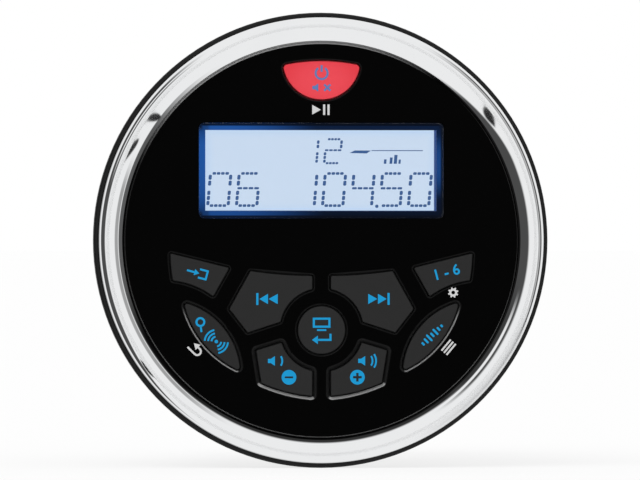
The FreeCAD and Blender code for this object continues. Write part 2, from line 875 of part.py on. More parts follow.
def make_gasket():
    outer = FACE_RADIUS - HOUSING_DRAFT - GASKET_EDGE_MARGIN
    return tube(outer, CAN_RADIUS + GASKET_HOLE_MARGIN, housing_back, 0)


def make_rear_can():
    """The can behind the dash: a front flange, screw bosses and two pairs of rails for the board."""
    can = tube(CAN_RADIUS, can_inner, can_front, CAN_LENGTH)
    flange = tube(CAN_RADIUS, can_mouth, can_front, can_front + CAN_FLANGE_THICKNESS)
    bosses = [
        rod(REAR_BOSS_RADIUS, CAN_LENGTH - REAR_BOSS_LENGTH, CAN_LENGTH, x, z)
        for x, z in rear_screw_places()
    ]
    can = joined(can, flange, *bosses, *make_rails())
    holes = [
        rod(SCREW_RADIUS + SCREW_FIT, CAN_LENGTH - REAR_SCREW_LENGTH, CAN_LENGTH, x, z)
        for x, z in rear_screw_places()
    ]
    holes += [
        rod(SCREW_RADIUS + SCREW_FIT, can_front, can_front + CAN_FLANGE_THICKNESS, x, z)
        for x, z in can_screw_places()
    ]
    return can.cut(holes)


def make_rails():
    """Rails above and below each long edge of the main board, trimmed to the can's round wall."""
    inner_edge = main_board_half - RAIL_DEPTH
    room = rod(can_inner + CAN_WALL / 2, can_front, CAN_LENGTH)
    rails = []
    for low in (MAIN_BOARD_TOP + MAIN_BOARD_FIT, main_board_bottom - MAIN_BOARD_FIT - RAIL_HEIGHT):
        rail = block(inner_edge, CAN_RADIUS, can_front, CAN_LENGTH - RAIL_END, low, low + RAIL_HEIGHT)
        rails += both_sides(rail.common(room))
    return rails


def make_can_screws():
    length = FLOOR_THICKNESS + CAN_FLANGE_THICKNESS
    return Part.makeCompound(
        [
            screw(SCREW_RADIUS, SCREW_HEAD_RADIUS, SCREW_HEAD_HEIGHT, floor_front, 1, length, x, z)
            for x, z in can_screw_places()
        ]
    )


def make_main_board():
    half = main_board_half
    return block(-half, half, MAIN_BOARD_START, main_board_back, main_board_bottom, MAIN_BOARD_TOP)


def on_board(x, y, width, length, height):
    """A box standing on the main board, centred on x and y."""
    return block(
        x - width / 2,
        x + width / 2,
        y - length / 2,
        y + length / 2,
        MAIN_BOARD_TOP,
        MAIN_BOARD_TOP + height,
    )


def upright(radius, height, x, y):
    """A cylinder standing on the main board."""
    return Part.makeCylinder(radius, height, at(x, y, MAIN_BOARD_TOP))


def make_board_link():
    """The plug and socket block between the two circuit boards."""
    half = LINK_WIDTH / 2
    top = MAIN_BOARD_TOP + LINK_HEIGHT
    return block(-half, half, board_back, board_back + LINK_LENGTH, MAIN_BOARD_TOP, top)


def make_processor():
    return on_board(PROCESSOR_X, PROCESSOR_Y, PROCESSOR_SIDE, PROCESSOR_SIDE, PROCESSOR_THICKNESS)


def make_tuner():
    return on_board(TUNER_X, TUNER_Y, TUNER_WIDTH, TUNER_LENGTH, TUNER_HEIGHT)


def make_wireless():
    """A small radio board under a screening can, hung under the main board."""
    base = on_board(0, WIRELESS_Y, WIRELESS_WIDTH, WIRELESS_LENGTH, WIRELESS_THICKNESS)
    base.translate(at(0, 0, -BOARD_THICKNESS - WIRELESS_THICKNESS))
    shield = on_board(
        0,
        WIRELESS_Y,
        WIRELESS_WIDTH - 2 * SHIELD_MARGIN,
        WIRELESS_LENGTH - 2 * SHIELD_MARGIN,
        SHIELD_HEIGHT,
    )
    shield.translate(at(0, 0, -BOARD_THICKNESS - WIRELESS_THICKNESS - SHIELD_HEIGHT))
    return joined(base, shield)


def make_capacitors():
    return Part.makeCompound(
        both_sides(upright(CAPACITOR_RADIUS, CAPACITOR_HEIGHT, CAPACITOR_X, CAPACITOR_Y))
    )


def make_choke():
    core = upright(CHOKE_RADIUS, CHOKE_HEIGHT, 0, CHOKE_Y)
    return core.cut(upright(CHOKE_HOLE, CHOKE_HEIGHT, 0, CHOKE_Y))


def make_amp_chip():
    """Power amplifier in a flat package that stands on a row of leads."""
    half = AMP_WIDTH / 2
    body = block(-half, half, amp_front, amp_back, amp_bottom, amp_bottom + AMP_HEIGHT)
    first = -AMP_LEAD_SPACING * (AMP_LEADS - 1) / 2
    leads = []
    for index in range(AMP_LEADS):
        x = first + AMP_LEAD_SPACING * index
        leads.append(
            block(
                x - AMP_LEAD_WIDTH / 2,
                x + AMP_LEAD_WIDTH / 2,
                amp_front,
                amp_front + AMP_LEAD_WIDTH,
                MAIN_BOARD_TOP,
                amp_bottom,
            )
        )
    return joined(body, *leads)


def make_thermal_pad():
    half = AMP_WIDTH / 2
    return block(-half, half, amp_back, CAN_LENGTH, amp_bottom, amp_bottom + AMP_HEIGHT)


def make_amp_clamp():
    reach = CLAMP_SCREW_X + CLAMP_END
    half = CLAMP_HEIGHT / 2
    bar = block(-reach, reach, amp_front - CLAMP_THICKNESS, amp_front, -half, half)
    hole = rod(SCREW_RADIUS + SCREW_HEAD_FIT, amp_front - CLAMP_THICKNESS, amp_front, CLAMP_SCREW_X)
    return bar.cut(both_sides(hole))


def make_clamp_screws():
    seat = amp_front - CLAMP_THICKNESS
    length = CLAMP_THICKNESS + CAN_LENGTH - amp_front + CLAMP_SCREW_DEPTH - SCREW_HEAD_FIT
    one = screw(SCREW_RADIUS, SCREW_HEAD_RADIUS, SCREW_HEAD_HEIGHT, seat, 1, length, CLAMP_SCREW_X, 0)
    return Part.makeCompound(both_sides(one))


def rear_fittings():
    """Place and hole radius of each fitting that passes through the rear cover."""
    return [
        (HARNESS_X, gland_z, HARNESS_BORE + GLAND_WALL),
        (SIGNAL_X, gland_z, SIGNAL_BORE + GLAND_WALL),
        (0.0, socket_z, SOCKET_RADIUS),
    ]


def make_heat_sink(side):
    """A finned extrusion screwed on the cover, above the bracket's bar for side 1 or below it for -1."""
    low, high = sorted((side * FIN_BAND, side * cover_radius))
    solids = [block(-cover_radius, cover_radius, cover_back, fin_base_back, low, high)]
    first = -FIN_PITCH * (FIN_COUNT - 1) / 2 - FIN_WALL / 2
    for index in range(FIN_COUNT):
        start = first + FIN_PITCH * index
        solids.append(block(start, start + FIN_WALL, cover_back, fin_back, low, high))
    trim = rod(cover_radius - FIN_EDGE_MARGIN, cover_back, fin_back)
    cuts = []
    for x, z, radius in rear_fittings():
        cuts.append(rod(radius + GLAND_LIP + FIN_CLEARANCE, cover_back, fin_back, x, z))
    for x, z in rear_screw_places():
        cuts.append(rod(SCREW_HEAD_RADIUS + FIN_CLEARANCE, fin_base_back, fin_back, x, z))
        cuts.append(rod(SCREW_RADIUS + SCREW_HEAD_FIT, cover_back, fin_base_back, x, z))
    return joined(*solids).common(trim).cut(cuts)


def make_rear_cover():
    """Cast cover that closes the can, with bosses for the studs and clamp on its front."""
    seal_step = can_inner + REAR_SEAL_INSET
    body = turned(
        [
            (0, CAN_LENGTH),
            (0, cover_back),
            (cover_radius - COVER_EDGE, cover_back),
            (cover_radius, cover_back - COVER_EDGE),
            (cover_radius, CAN_LENGTH + REAR_SEAL_THICKNESS),
            (seal_step, CAN_LENGTH + REAR_SEAL_THICKNESS),
            (seal_step, CAN_LENGTH),
        ]
    )
    stud_boss = rod(STUD_RADIUS + STUD_BOSS_WALL, CAN_LENGTH - STUD_BOSS_HEIGHT, CAN_LENGTH, stud_x)
    clamp_post = rod(CLAMP_POST_RADIUS, amp_front, CAN_LENGTH, CLAMP_SCREW_X)
    body = joined(body, *both_sides(stud_boss), *both_sides(clamp_post))
    holes = [rod(radius, CAN_LENGTH, cover_back, x, z) for x, z, radius in rear_fittings()]
    holes += both_sides(rod(STUD_RADIUS + SCREW_FIT, cover_back - STUD_DEPTH, cover_back, stud_x))
    holes += both_sides(
        rod(SCREW_RADIUS + SCREW_FIT, amp_front, CAN_LENGTH + CLAMP_SCREW_DEPTH, CLAMP_SCREW_X)
    )
    holes += [
        rod(SCREW_RADIUS + SCREW_HEAD_FIT, CAN_LENGTH, cover_back, x, z) for x, z in rear_screw_places()
    ]
    return body.cut(holes)


def make_rear_seal():
    inner = can_inner + REAR_SEAL_INSET
    return tube(cover_radius, inner, CAN_LENGTH, CAN_LENGTH + REAR_SEAL_THICKNESS)


def make_rear_screws():
    length = FIN_BASE + COVER_THICKNESS + REAR_SCREW_LENGTH - SCREW_HEAD_FIT
    return Part.makeCompound(
        [
            screw(SCREW_RADIUS, SCREW_HEAD_RADIUS, SCREW_HEAD_HEIGHT, fin_base_back, -1, length, x, z)
            for x, z in rear_screw_places()
        ]
    )


def make_gland(bore, x, z):
    """Rubber gland: a neck in the cover's hole between two lips, and a tapered tail."""
    neck = bore + GLAND_WALL
    lip = neck + GLAND_LIP
    lip_back = cover_back + GLAND_LIP_THICKNESS
    return turned(
        [
            (bore, CAN_LENGTH - GLAND_LIP_THICKNESS),
            (bore, cover_back + GLAND_TAIL),
            (bore + GLAND_TAIL_WALL, cover_back + GLAND_TAIL),
            (neck, lip_back),
            (lip, lip_back),
            (lip, cover_back),
            (neck, cover_back),
            (neck, CAN_LENGTH),
            (lip, CAN_LENGTH),
            (lip, CAN_LENGTH - GLAND_LIP_THICKNESS),
        ],
        x,
        z,
    )


def make_antenna_socket():
    """Metal socket with an outer shell and a tubular centre contact."""
    end = cover_back + SOCKET_LENGTH
    floor_back = CAN_LENGTH + SOCKET_FLOOR
    shell_inner = SOCKET_RADIUS - SOCKET_WALL
    contact_outer = SOCKET_CONTACT_BORE + SOCKET_CONTACT_WALL
    contact_end = floor_back + SOCKET_CONTACT_LENGTH
    return turned(
        [
            (0, CAN_LENGTH - GLAND_LIP_THICKNESS),
            (0, floor_back),
            (SOCKET_CONTACT_BORE, floor_back),
            (SOCKET_CONTACT_BORE, contact_end),
            (contact_outer, contact_end),
            (contact_outer, floor_back),
            (shell_inner, floor_back),
            (shell_inner, end),
            (SOCKET_RADIUS, end),
            (SOCKET_RADIUS, CAN_LENGTH),
            (SOCKET_RADIUS + SOCKET_LIP, CAN_LENGTH),
            (SOCKET_RADIUS + SOCKET_LIP, CAN_LENGTH - GLAND_LIP_THICKNESS),
        ],
        0,
        socket_z,
    )


def make_studs():
    return Part.makeCompound(
        both_sides(rod(STUD_RADIUS, cover_back - STUD_DEPTH, nut_back + STUD_SPARE, stud_x))
    )


def make_bracket():
    """Steel strip bent into a U: a bar across the back, two legs along the can, two turned-out feet."""
    foot_tip = leg_outer + BRACKET_FOOT
    foot_back = DASH_THICKEST + BRACKET_THICKNESS
    right = [
        (leg_inner, bar_front),
        (leg_inner, DASH_THICKEST),
        (foot_tip, DASH_THICKEST),
        (foot_tip, foot_back),
        (leg_outer, foot_back),
        (leg_outer, bar_back),
    ]
    left = [(-x, y) for x, y in reversed(right)]
    half = BRACKET_WIDTH / 2
    strip = Part.Face(closed_wire(left + right, lambda a, b: at(a, b, -half)))
    strip = strip.extrude(at(0, 0, BRACKET_WIDTH))
    inner = BRACKET_BEND
    outer = BRACKET_BEND + BRACKET_THICKNESS
    for radius, places in (
        (inner, [(leg_inner, bar_front), (leg_outer, foot_back)]),
        (outer, [(leg_outer, bar_back), (leg_inner, DASH_THICKEST)]),
    ):
        strip = strip.makeFillet(radius, bend_edges(strip, places))
    holes = both_sides(rod(STUD_RADIUS + BRACKET_HOLE_FIT, bar_front, bar_back, stud_x))
    return strip.cut(holes)


def bend_edges(strip, places):
    """The upright edges of the strip at given x, y places on either side."""
    found = []
    for edge in strip.Edges:
        box = edge.BoundBox
        if box.ZLength < BRACKET_WIDTH / 2:
            continue
        for x, y in places:
            if abs(abs(box.Center.x) - x) < 1e-4 and abs(box.Center.y - y) < 1e-4:
                found.append(edge)
    return found


def make_washers():
    one = tube(WASHER_RADIUS, STUD_RADIUS + BRACKET_HOLE_FIT, bar_back, washer_back, stud_x)
    return Part.makeCompound(both_sides(one))


def make_wing_nut():
    """Wing nut on the right-hand stud: a tapered hub with two upswept ears."""
    bore = STUD_RADIUS + NUT_FIT
    hub = turned(
        [
            (bore, nut_front),
            (bore, nut_back),
            (NUT_TOP_RADIUS, nut_back),
            (NUT_RADIUS, nut_front),
        ]
    )
    ear_front = nut_front + WING_START
    ear_back = ear_front + WING_HEIGHT
    root = (bore + NUT_TOP_RADIUS) / 2
    ear = Part.Face(
        closed_wire(
            [
                (root, ear_front),
                (root, nut_back),
                (NUT_RADIUS + WING_CORNER, ear_back),
                (WING_REACH, ear_back),
                (WING_REACH, ear_front + WING_HEIGHT / 2),
            ],
            lambda a, b: at(a, b, -WING_THICKNESS / 2),
        )
    ).extrude(at(0, 0, WING_THICKNESS))
    tips = [
        edge
        for edge in ear.Edges
        if edge.BoundBox.ZLength > WING_THICKNESS / 2 and edge.BoundBox.Center.x > WING_REACH - 1e-4
    ]
    ear = ear.makeFillet(WING_CORNER, tips)
    nut = joined(hub, ear, spun(ear, 180))
    nut.translate(at(stud_x, 0, 0))
    return nut


def save(name, shape):
    if not shape.isValid():
        raise ValueError(name + " is not a valid solid")
    shape.exportStep(os.path.join("parts", name + ".step"))
    print(name, len(shape.Solids), round(shape.Volume, 1))


def main():
    os.makedirs("parts", exist_ok=True)
    outlines = key_outlines()
    for name, face in outlines.items():
        save(name, make_key(face))
    nut = make_wing_nut()
    pieces = {
        "bezel_ring": make_ring(),
        "fascia": make_fascia(outlines),
        "display_window": make_window(),
        "window_seal": make_window_seal(),
        "lcd_glass": make_lcd_glass(),
        "light_guide": make_light_guide(),
        "lcd_frame": make_lcd_frame(),
        "lcd_strips": make_lcd_strips(),
        "backlight_leds": make_backlight_leds(),
        "keypad": make_keypad(outlines),
        "contact_pills": make_contact_pills(outlines),
        "key_leds": make_key_leds(outlines),
        "front_board": make_front_board(),
        "board_screws": make_board_screws(),
        "face_housing": make_face_housing(),
        "face_seal": make_face_seal(),
        "fascia_screws": make_fascia_screws(),
        "panel_gasket": make_gasket(),
        "rear_can": make_rear_can(),
        "can_screws": make_can_screws(),
        "main_board": make_main_board(),
        "board_link": make_board_link(),
        "processor_chip": make_processor(),
        "tuner_module": make_tuner(),
        "wireless_module": make_wireless(),
        "filter_capacitors": make_capacitors(),
        "choke_coil": make_choke(),
        "amp_chip": make_amp_chip(),
        "thermal_pad": make_thermal_pad(),
        "amp_clamp": make_amp_clamp(),
        "clamp_screws": make_clamp_screws(),
        "rear_cover": make_rear_cover(),
        "upper_heat_sink": make_heat_sink(1),
        "lower_heat_sink": make_heat_sink(-1),
        "rear_seal": make_rear_seal(),
        "rear_screws": make_rear_screws(),
        "harness_gland": make_gland(HARNESS_BORE, HARNESS_X, gland_z),
        "signal_gland": make_gland(SIGNAL_BORE, SIGNAL_X, gland_z),
        "antenna_socket": make_antenna_socket(),
        "mounting_studs": make_studs(),
        "mounting_bracket": make_bracket(),
        "washers": make_washers(),
        "wing_nut_right": nut,
        "wing_nut_left": other_side(nut),
    }
    for name, shape in pieces.items():
        save(name, shape)


main()
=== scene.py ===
"""Looks of a round flush-mount marine stereo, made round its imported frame.

The frame is in metres: +Z is up, the face looks along -Y and the body runs back along +Y.
Sizes that are written here are in millimetres and are turned to metres by MM. Depths run along
+Y. Angles are in degrees. Places round the face and the turns of signs run from +X towards +Z.
"""

import math

import bpy
from mathutils import Matrix, Vector


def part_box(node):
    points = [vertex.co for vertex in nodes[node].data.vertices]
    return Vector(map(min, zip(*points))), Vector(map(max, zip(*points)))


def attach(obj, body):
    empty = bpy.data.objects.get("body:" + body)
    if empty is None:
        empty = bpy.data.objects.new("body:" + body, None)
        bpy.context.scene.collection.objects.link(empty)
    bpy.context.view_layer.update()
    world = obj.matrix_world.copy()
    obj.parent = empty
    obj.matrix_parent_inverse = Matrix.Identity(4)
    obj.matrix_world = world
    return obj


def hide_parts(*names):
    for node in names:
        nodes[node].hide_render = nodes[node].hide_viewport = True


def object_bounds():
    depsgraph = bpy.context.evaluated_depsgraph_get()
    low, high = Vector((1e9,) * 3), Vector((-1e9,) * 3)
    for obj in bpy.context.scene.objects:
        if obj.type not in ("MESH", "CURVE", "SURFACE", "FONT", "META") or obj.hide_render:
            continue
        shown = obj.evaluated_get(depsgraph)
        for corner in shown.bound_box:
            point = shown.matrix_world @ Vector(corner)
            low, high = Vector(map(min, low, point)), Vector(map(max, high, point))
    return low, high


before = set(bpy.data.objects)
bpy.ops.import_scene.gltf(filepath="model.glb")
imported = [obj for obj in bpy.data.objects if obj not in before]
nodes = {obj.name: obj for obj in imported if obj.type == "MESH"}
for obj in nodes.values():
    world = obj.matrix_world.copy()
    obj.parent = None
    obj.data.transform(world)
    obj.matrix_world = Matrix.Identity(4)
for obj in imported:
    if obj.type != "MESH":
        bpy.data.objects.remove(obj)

cad_low, cad_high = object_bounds()
MM = 0.001

# Camera, as the photograph was taken: where it stands round the object, and what it sees
CAMERA_AZIMUTH = -4.0
CAMERA_ELEVATION = 0.0
CAMERA_DISTANCE = 1500.0
CAMERA_SENSOR = 36.0
CAMERA_CLIP = (100.0, 100000.0)
RIM_DEPTH = -13.0

# The photograph, in pixels across and down
PHOTO_WIDTH_PX = 640
PHOTO_CENTRE_PX = (320.0, 240.0)
FACE_CENTRE_PX = (319.8, 240.3)
KEYS_AXIS_PX = 321.3
PHOTO_MM_PER_PX = 0.2379

# Chrome ring. Its ridge lies inside its outer edge, and its depths are read from the crown backwards
RING_WIDTH = 5.55
RING_RIDGE = 2.06
RING_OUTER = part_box("bezel_ring")[1].x / MM
RING_INNER = RING_OUTER - RING_WIDTH
RIDGE_RADIUS = RING_OUTER - RING_RIDGE
RING_CROWN = 1.8
RING_INNER_CURVE = 5.2
RING_WALL = 1.4
RING_TOP_WALL = 1.7
RING_INNER_DEPTH = 3.2
RING_OUTER_DEPTH = 5.0
RING_STEPS = 288

# Snap hooks at the foot of the ring's outer wall
HOOK_ANGLES = range(30, 390, 60)
HOOK_HALF_ANGLE = 3.3
HOOK_WALL = 0.8
HOOK_REACH = 2.7
HOOK_BARB = 0.7
HOOK_BARB_STEP = 0.02
HOOK_BARB_LENGTH = 1.0

# Printed and lit signs: how far they stand out and reach in, and their lines
SIGN_HEIGHT = 0.04
SIGN_SINK = 0.02
UPPER_SIGN_HEIGHT = 0.06
FINE_LINE = 0.42
LINE = 0.46
BOLD_LINE = 0.5
CURVE_STEP = 9.0
NUMBER_SIZE = 3.5
NUMBER_WEIGHT = 0.06
COG_TOP = 7.0
COG_ROOT = 13.0

# Where each sign's middle is in the photograph, in pixels across and down, and its turn
SIGN_PLACES_PX = {
    "power_sign": (KEYS_AXIS_PX, 73.8, 0.0),
    "quiet_sign": (KEYS_AXIS_PX, 88.2, 0.0),
    "previous_sign": (266.865, 298.7, 0.0),
    "next_sign": (378.467, 298.7, 0.0),
    "source_sign": (197.0, 272.6, -15.0),
    "preset_numbers": (446.0, 272.6, 15.0),
    "search_sign": (200.4, 321.6, 0.0),
    "band_sign": (216.3, 341.0, -42.0),
    "sound_sign": (432.0, 334.6, 44.0),
    "display_sign": (KEYS_AXIS_PX, 323.6, 0.0),
    "enter_sign": (KEYS_AXIS_PX, 338.0, 0.0),
    "quieter_sign": (277.4, 360.4, 0.0),
    "louder_sign": (369.2, 360.4, 0.0),
    "minus_disc": (288.7, 376.7, 0.0),
    "minus_sign": (288.7, 376.7, 0.0),
    "plus_disc": (357.0, 376.7, 0.0),
    "plus_sign": (357.0, 376.7, 0.0),
    "play_pause_sign": (KEYS_AXIS_PX, 110.2, 0.0),
    "back_sign": (194.4, 348.0, -44.5),
    "list_sign": (448.4, 347.0, 50.0),
    "settings_sign": (453.0, 292.4, 18.0),
}

# Display, from the middle of its glass. A row of numerals has the left of its first one, their foot
# and spacing, and their width, height and line
SEGMENT_HEIGHT = 0.03
SEGMENT_LEAN = math.tan(math.radians(5.0))
NUMERAL_ROWS = {
    "06 10450": (-26.9, -8.75, 6.82, 4.85, 8.25, 0.74),
    "12": (-4.75, 1.45, 5.55, 3.7, 6.14, 0.6),
}
NUMERAL_POINT = (13.35, -8.45, 0.4)
TUNING_POINTER = ((6.85, 4.2), (8.1, 4.8), (12.0, 4.8), (10.9, 4.1))
TUNING_LINE = (18.2, 4.78, 12.2, 0.2)
LEVEL_FOOT = 1.65
LEVEL_BARS = ((15.3, 1.05, 0.6), (16.7, 1.5, 0.65), (17.75, 2.1, 0.75), (18.75, 1.0, 0.5))

# A numeral's segments: where each starts and ends as shares of its width and height, its number of
# dashes, and how far it stays back and how thick it is as shares of the line
SEGMENTS = {
    "a": ((0.02, 0.98), (0.98, 0.98), 4, 0.4, 0.85),
    "b": ((1.0, 1.01), (1.0, 0.56), 2, 0.62, 1.0),
    "c": ((1.0, 0.55), (1.0, 0.0), 3, 0.62, 1.0),
    "d": ((0.02, 0.055), (0.98, 0.055), 4, 0.4, 0.85),
    "e": ((0.0, 0.55), (0.0, 0.0), 3, 0.62, 1.0),
    "f": ((0.0, 1.01), (0.0, 0.56), 2, 0.62, 1.0),
    "g": ((-0.05, 0.555), (1.05, 0.555), 4, 0.0, 0.72),
}
DIGITS = {"0": "abcdef", "1": "bc", "2": "abged", "4": "fgbc", "5": "afgcd", "6": "afgecd"}
DASH_LENGTH = 0.84
DASH_ROUNDING = 0.7

# Gland boots. Each rib takes up the first share of its pitch, then a groove starts and ends
GLAND_BORES = {"harness_gland": 5.0, "signal_gland": 4.0}
GLAND_BORE_EDGE = 0.3
GLAND_WALL = 1.6
GLAND_TAIL_WALL = 1.0
GLAND_TAIL_EDGE = 0.2
GLAND_LIP = 1.5
GLAND_LIP_EDGE = 0.4
GLAND_LIP_THICKNESS = 1.4
GLAND_RIBS = 5
GLAND_GROOVE = 0.44
GLAND_RIB_END = 0.5
GLAND_GROOVE_START = 0.55
GLAND_GROOVE_END = 0.95

# Studs. A flank and a flat are shares of the pitch
THREAD_PITCH = 0.8
THREAD_DEPTH = 0.45
THREAD_FLANK = 0.4
THREAD_FLAT = 0.1
THREAD_STEPS = 28

# The cover's screws, and the sleeve in the aerial socket
RECESS_WIDTH = 0.7
RECESS_SIZE = 2.5
RECESS_DEPTH = 0.9
RECESS_CLEARANCE = 1.0
RECESS_TURNS = (20, 53, 86, 119)
SCREW_HEAD = 2.4
SCREW_HEAD_HEIGHT = 1.6
SCREW_SHANK = 1.3
SCREW_TIP = 0.5
INSULATOR_RADIUS = 4.7
INSULATOR_BORE = 2.35
INSULATOR_HEIGHT = 3.0
INSULATOR_DEPTH = 2.0
INSULATOR_EDGE = 0.3

# Mesh work: how near points are merged, and how near a cut takes a point as its own, in metres
WELD = 2e-6
CUT = 1e-7

# Mesh work: how near a face counts as on a plane, and the angles between faces up to which they are
# merged, are shaded as one and stay unrounded
NEAR = 0.01
FLAT_ANGLE = 0.4
SMOOTH_ANGLE = 35.0
SHARP_ANGLE = 30.0

# Where a finish changes over a piece: the places where the change starts and is full. Where there are
# four, it is full up to the third and ends at the fourth
RUBBED_WIDTHS = (0.55, 0.2)
WORN_WIDTHS = (0.1, 0.5)
# Painted shade on the chrome's inner slope, low down by the face
PAINTED_SHADE_WIDTHS = (0.95, 0.45)
# Painted highlights on the face's cut edges: how deep they lie, and where they fall on the lower lips and
# the rim's bevel
CUT_DEPTHS = (0.02, 0.08)
LIP_RADII = (33.0, 35.0, 44.0, 45.0)
LIP_HEIGHTS = (-15.5, -19.0)
BEVEL_RADII = (46.35, 46.5, 46.7, 46.8)
BEVEL_FOOT = (0.0, -38.0)
BEVEL_TOP = (40.0, 20.0)
# Painted shade inside the ring on the face's dish, with painted light at its upper left
RING_SHADE_RADII = (49.0, 50.0)
# Painted shadow of the display's frame along its right and its foot
DISPLAY_RIGHT = (26.9, 27.05)
DISPLAY_FOOT = (7.12, 7.0)
SLEEVE_TOP = (0.6, 0.5)
SLEEVE_STRIPE = (1.1, 0.9)

# The painted glow of the lamp under the red key: the squares of how far it reaches across and up
KEY_LAMP_SPREAD = (90.0, 40.0)

# Painted light on the face's rim: the angle where it is brightest, and the cosines off that angle where it
# ends and where it is full
RIM_LIGHT_TURN = 106.0
RIM_LIGHT_REACH = (0.6, 1.0)

# Studio: the floor, the soft lamp and the levels of the surroundings
FLOOR_SIZE = 60000.0
FLOOR_WHITE = 0.8
LAMP_AZIMUTH = -35.0
LAMP_ELEVATION = 52.0
LAMP_SOFTNESS = 40.0
WORLD_LEVEL = 0.75
CARD_ANGLE = 2.4
CARD_EDGE = 0.9
CARD_LEVEL = 0.12
NEAR_GAP_LEVEL = 0.42
FAR_GAP_LEVEL = 0.12
LEFT_GAP_LEVEL = 0.08
LEAF_LEVEL = 0.03
LEAF_EDGE = 0.16
BEHIND_LEVELS = (0.3, 0.95)

# Dark leaves among the white screens, by where the ring's inner slope mirrors them to the camera.
# Each has its head and its tail, as degrees round the ring and mm in from its ridge, and a width in mm
WORLD_LEAVES = ((142.4, 2.6, 146.8, -0.9, 3.3), (151.0, 1.1, 160.5, -0.2, 2.0), (39.5, 0.8, 32.6, 1.7, 3.2))


# Places in the frame


def front_of(node):
    """The depth in mm at which a CAD node starts."""
    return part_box(node)[0].y / MM


def back_of(node):
    """The depth in mm at which a CAD node ends."""
    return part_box(node)[1].y / MM


def middle_of(node):
    """The middle of a CAD node's box, in mm."""
    low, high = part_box(node)
    return (low + high) / 2 / MM


def half_of(node):
    """Half of each size of a CAD node's box, in mm."""
    low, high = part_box(node)
    return (high - low) / 2 / MM


# Selecting, and the steps that most pieces share


def focus(piece):
    """Makes one piece the only selected one, and the active one."""
    bpy.ops.object.select_all(action="DESELECT")
    piece.select_set(True)
    bpy.context.view_layer.objects.active = piece


def editing(piece):
    focus(piece)
    bpy.ops.object.mode_set(mode="EDIT")


def done_editing():
    bpy.ops.object.mode_set(mode="OBJECT")


def link(piece):
    """Puts a new object in the scene."""
    bpy.context.scene.collection.objects.link(piece)
    return piece


def settle(piece, name):
    """Applies the place of a new piece to its mesh, and names it."""
    focus(piece)
    bpy.ops.object.transform_apply(location=True, rotation=True, scale=True)
    piece.name = name
    piece.data.name = name
    return piece


def modify(piece, kind, **settings):
    """Adds a modifier, sets it and applies it."""
    modifier = piece.modifiers.new(kind.title(), kind)
    for key, value in settings.items():
        setattr(modifier, key, value)
    focus(piece)
    bpy.ops.object.modifier_apply(modifier=modifier.name)


def smooth(piece, angle=SMOOTH_ANGLE):
    """Shades curved faces smooth and keeps flat ones flat."""
    focus(piece)
    bpy.ops.object.shade_smooth_by_angle(angle=math.radians(angle))
    modify(piece, "WEIGHTED_NORMAL", keep_sharp=True, weight=100)


def soften(piece, width):
    """Rounds the sharp edges of a piece by a width in mm."""
    modify(
        piece,
        "BEVEL",
        width=width * MM,
        segments=2,
        limit_method="ANGLE",
        angle_limit=math.radians(SHARP_ANGLE),
        harden_normals=False,
    )


def weld(piece):
    """Closes a mesh and points its faces outwards."""
    editing(piece)
    bpy.ops.mesh.select_all(action="SELECT")
    bpy.ops.mesh.remove_doubles(threshold=WELD)
    bpy.ops.mesh.normals_make_consistent(inside=False)
    done_editing()


def join(pieces, name):
    """Makes several pieces one, which is the first of them."""
    focus(pieces[0])
    for piece in pieces:
        piece.select_set(True)
    bpy.ops.object.join()
    pieces[0].name = name


def solid_copy(name, node, soft_edge, angle):
    """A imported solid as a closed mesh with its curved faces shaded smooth, in the solid's place."""
    piece = link(bpy.data.objects.new(name, nodes[node].data.copy()))
    editing(piece)
    bpy.ops.mesh.select_all(action="SELECT")
    bpy.ops.mesh.remove_doubles(threshold=WELD)
    bpy.ops.mesh.dissolve_limited(angle_limit=math.radians(FLAT_ANGLE))
    done_editing()
    bpy.ops.mesh.customdata_custom_splitnormals_clear()
    if soft_edge:
        soften(piece, soft_edge)
    smooth(piece, angle)
    return piece


def traced(points):
    """A chain of edges through points of (radius, depth) in mm, as a new piece at the origin."""
    bpy.ops.object.select_all(action="DESELECT")
    bpy.ops.mesh.primitive_plane_add(size=MM, location=(0, 0, 0))
    piece = bpy.context.object
    editing(piece)
    bpy.ops.mesh.merge(type="CENTER")
    bpy.ops.transform.translate(value=(points[0][0] * MM, points[0][1] * MM, 0))
    for here, following in zip(points, points[1:]):
        step = ((following[0] - here[0]) * MM, (following[1] - here[1]) * MM, 0)
        bpy.ops.mesh.extrude_region_move(TRANSFORM_OT_translate={"value": step})
    done_editing()
    return piece


def turned(name, profile, x=0.0, z=0.0, steps=96, angle=SMOOTH_ANGLE):
    """A piece spun about a front-to-back axis, from a closed profile of (radius, depth) in mm."""
    piece = traced(profile)
    vertices = piece.data.vertices
    for vertex in vertices:
        vertex.select = vertex.index in (0, len(vertices) - 1)
    editing(piece)
    bpy.ops.mesh.edge_face_add()
    bpy.ops.mesh.select_all(action="SELECT")
    bpy.ops.mesh.spin(steps=steps, angle=math.tau, center=(0, 0, 0), axis=(0, 1, 0))
    done_editing()
    weld(piece)
    piece.location = (x * MM, 0, z * MM)
    settle(piece, name)
    smooth(piece, angle)
    return piece


def arc(centre, radius, start, end, steps):
    """Points on an arc, both ends included."""
    points = []
    for index in range(steps + 1):
        angle = math.radians(start + (end - start) * index / steps)
        points.append((centre[0] + radius * math.cos(angle), centre[1] + radius * math.sin(angle)))
    return points


# Shader expressions


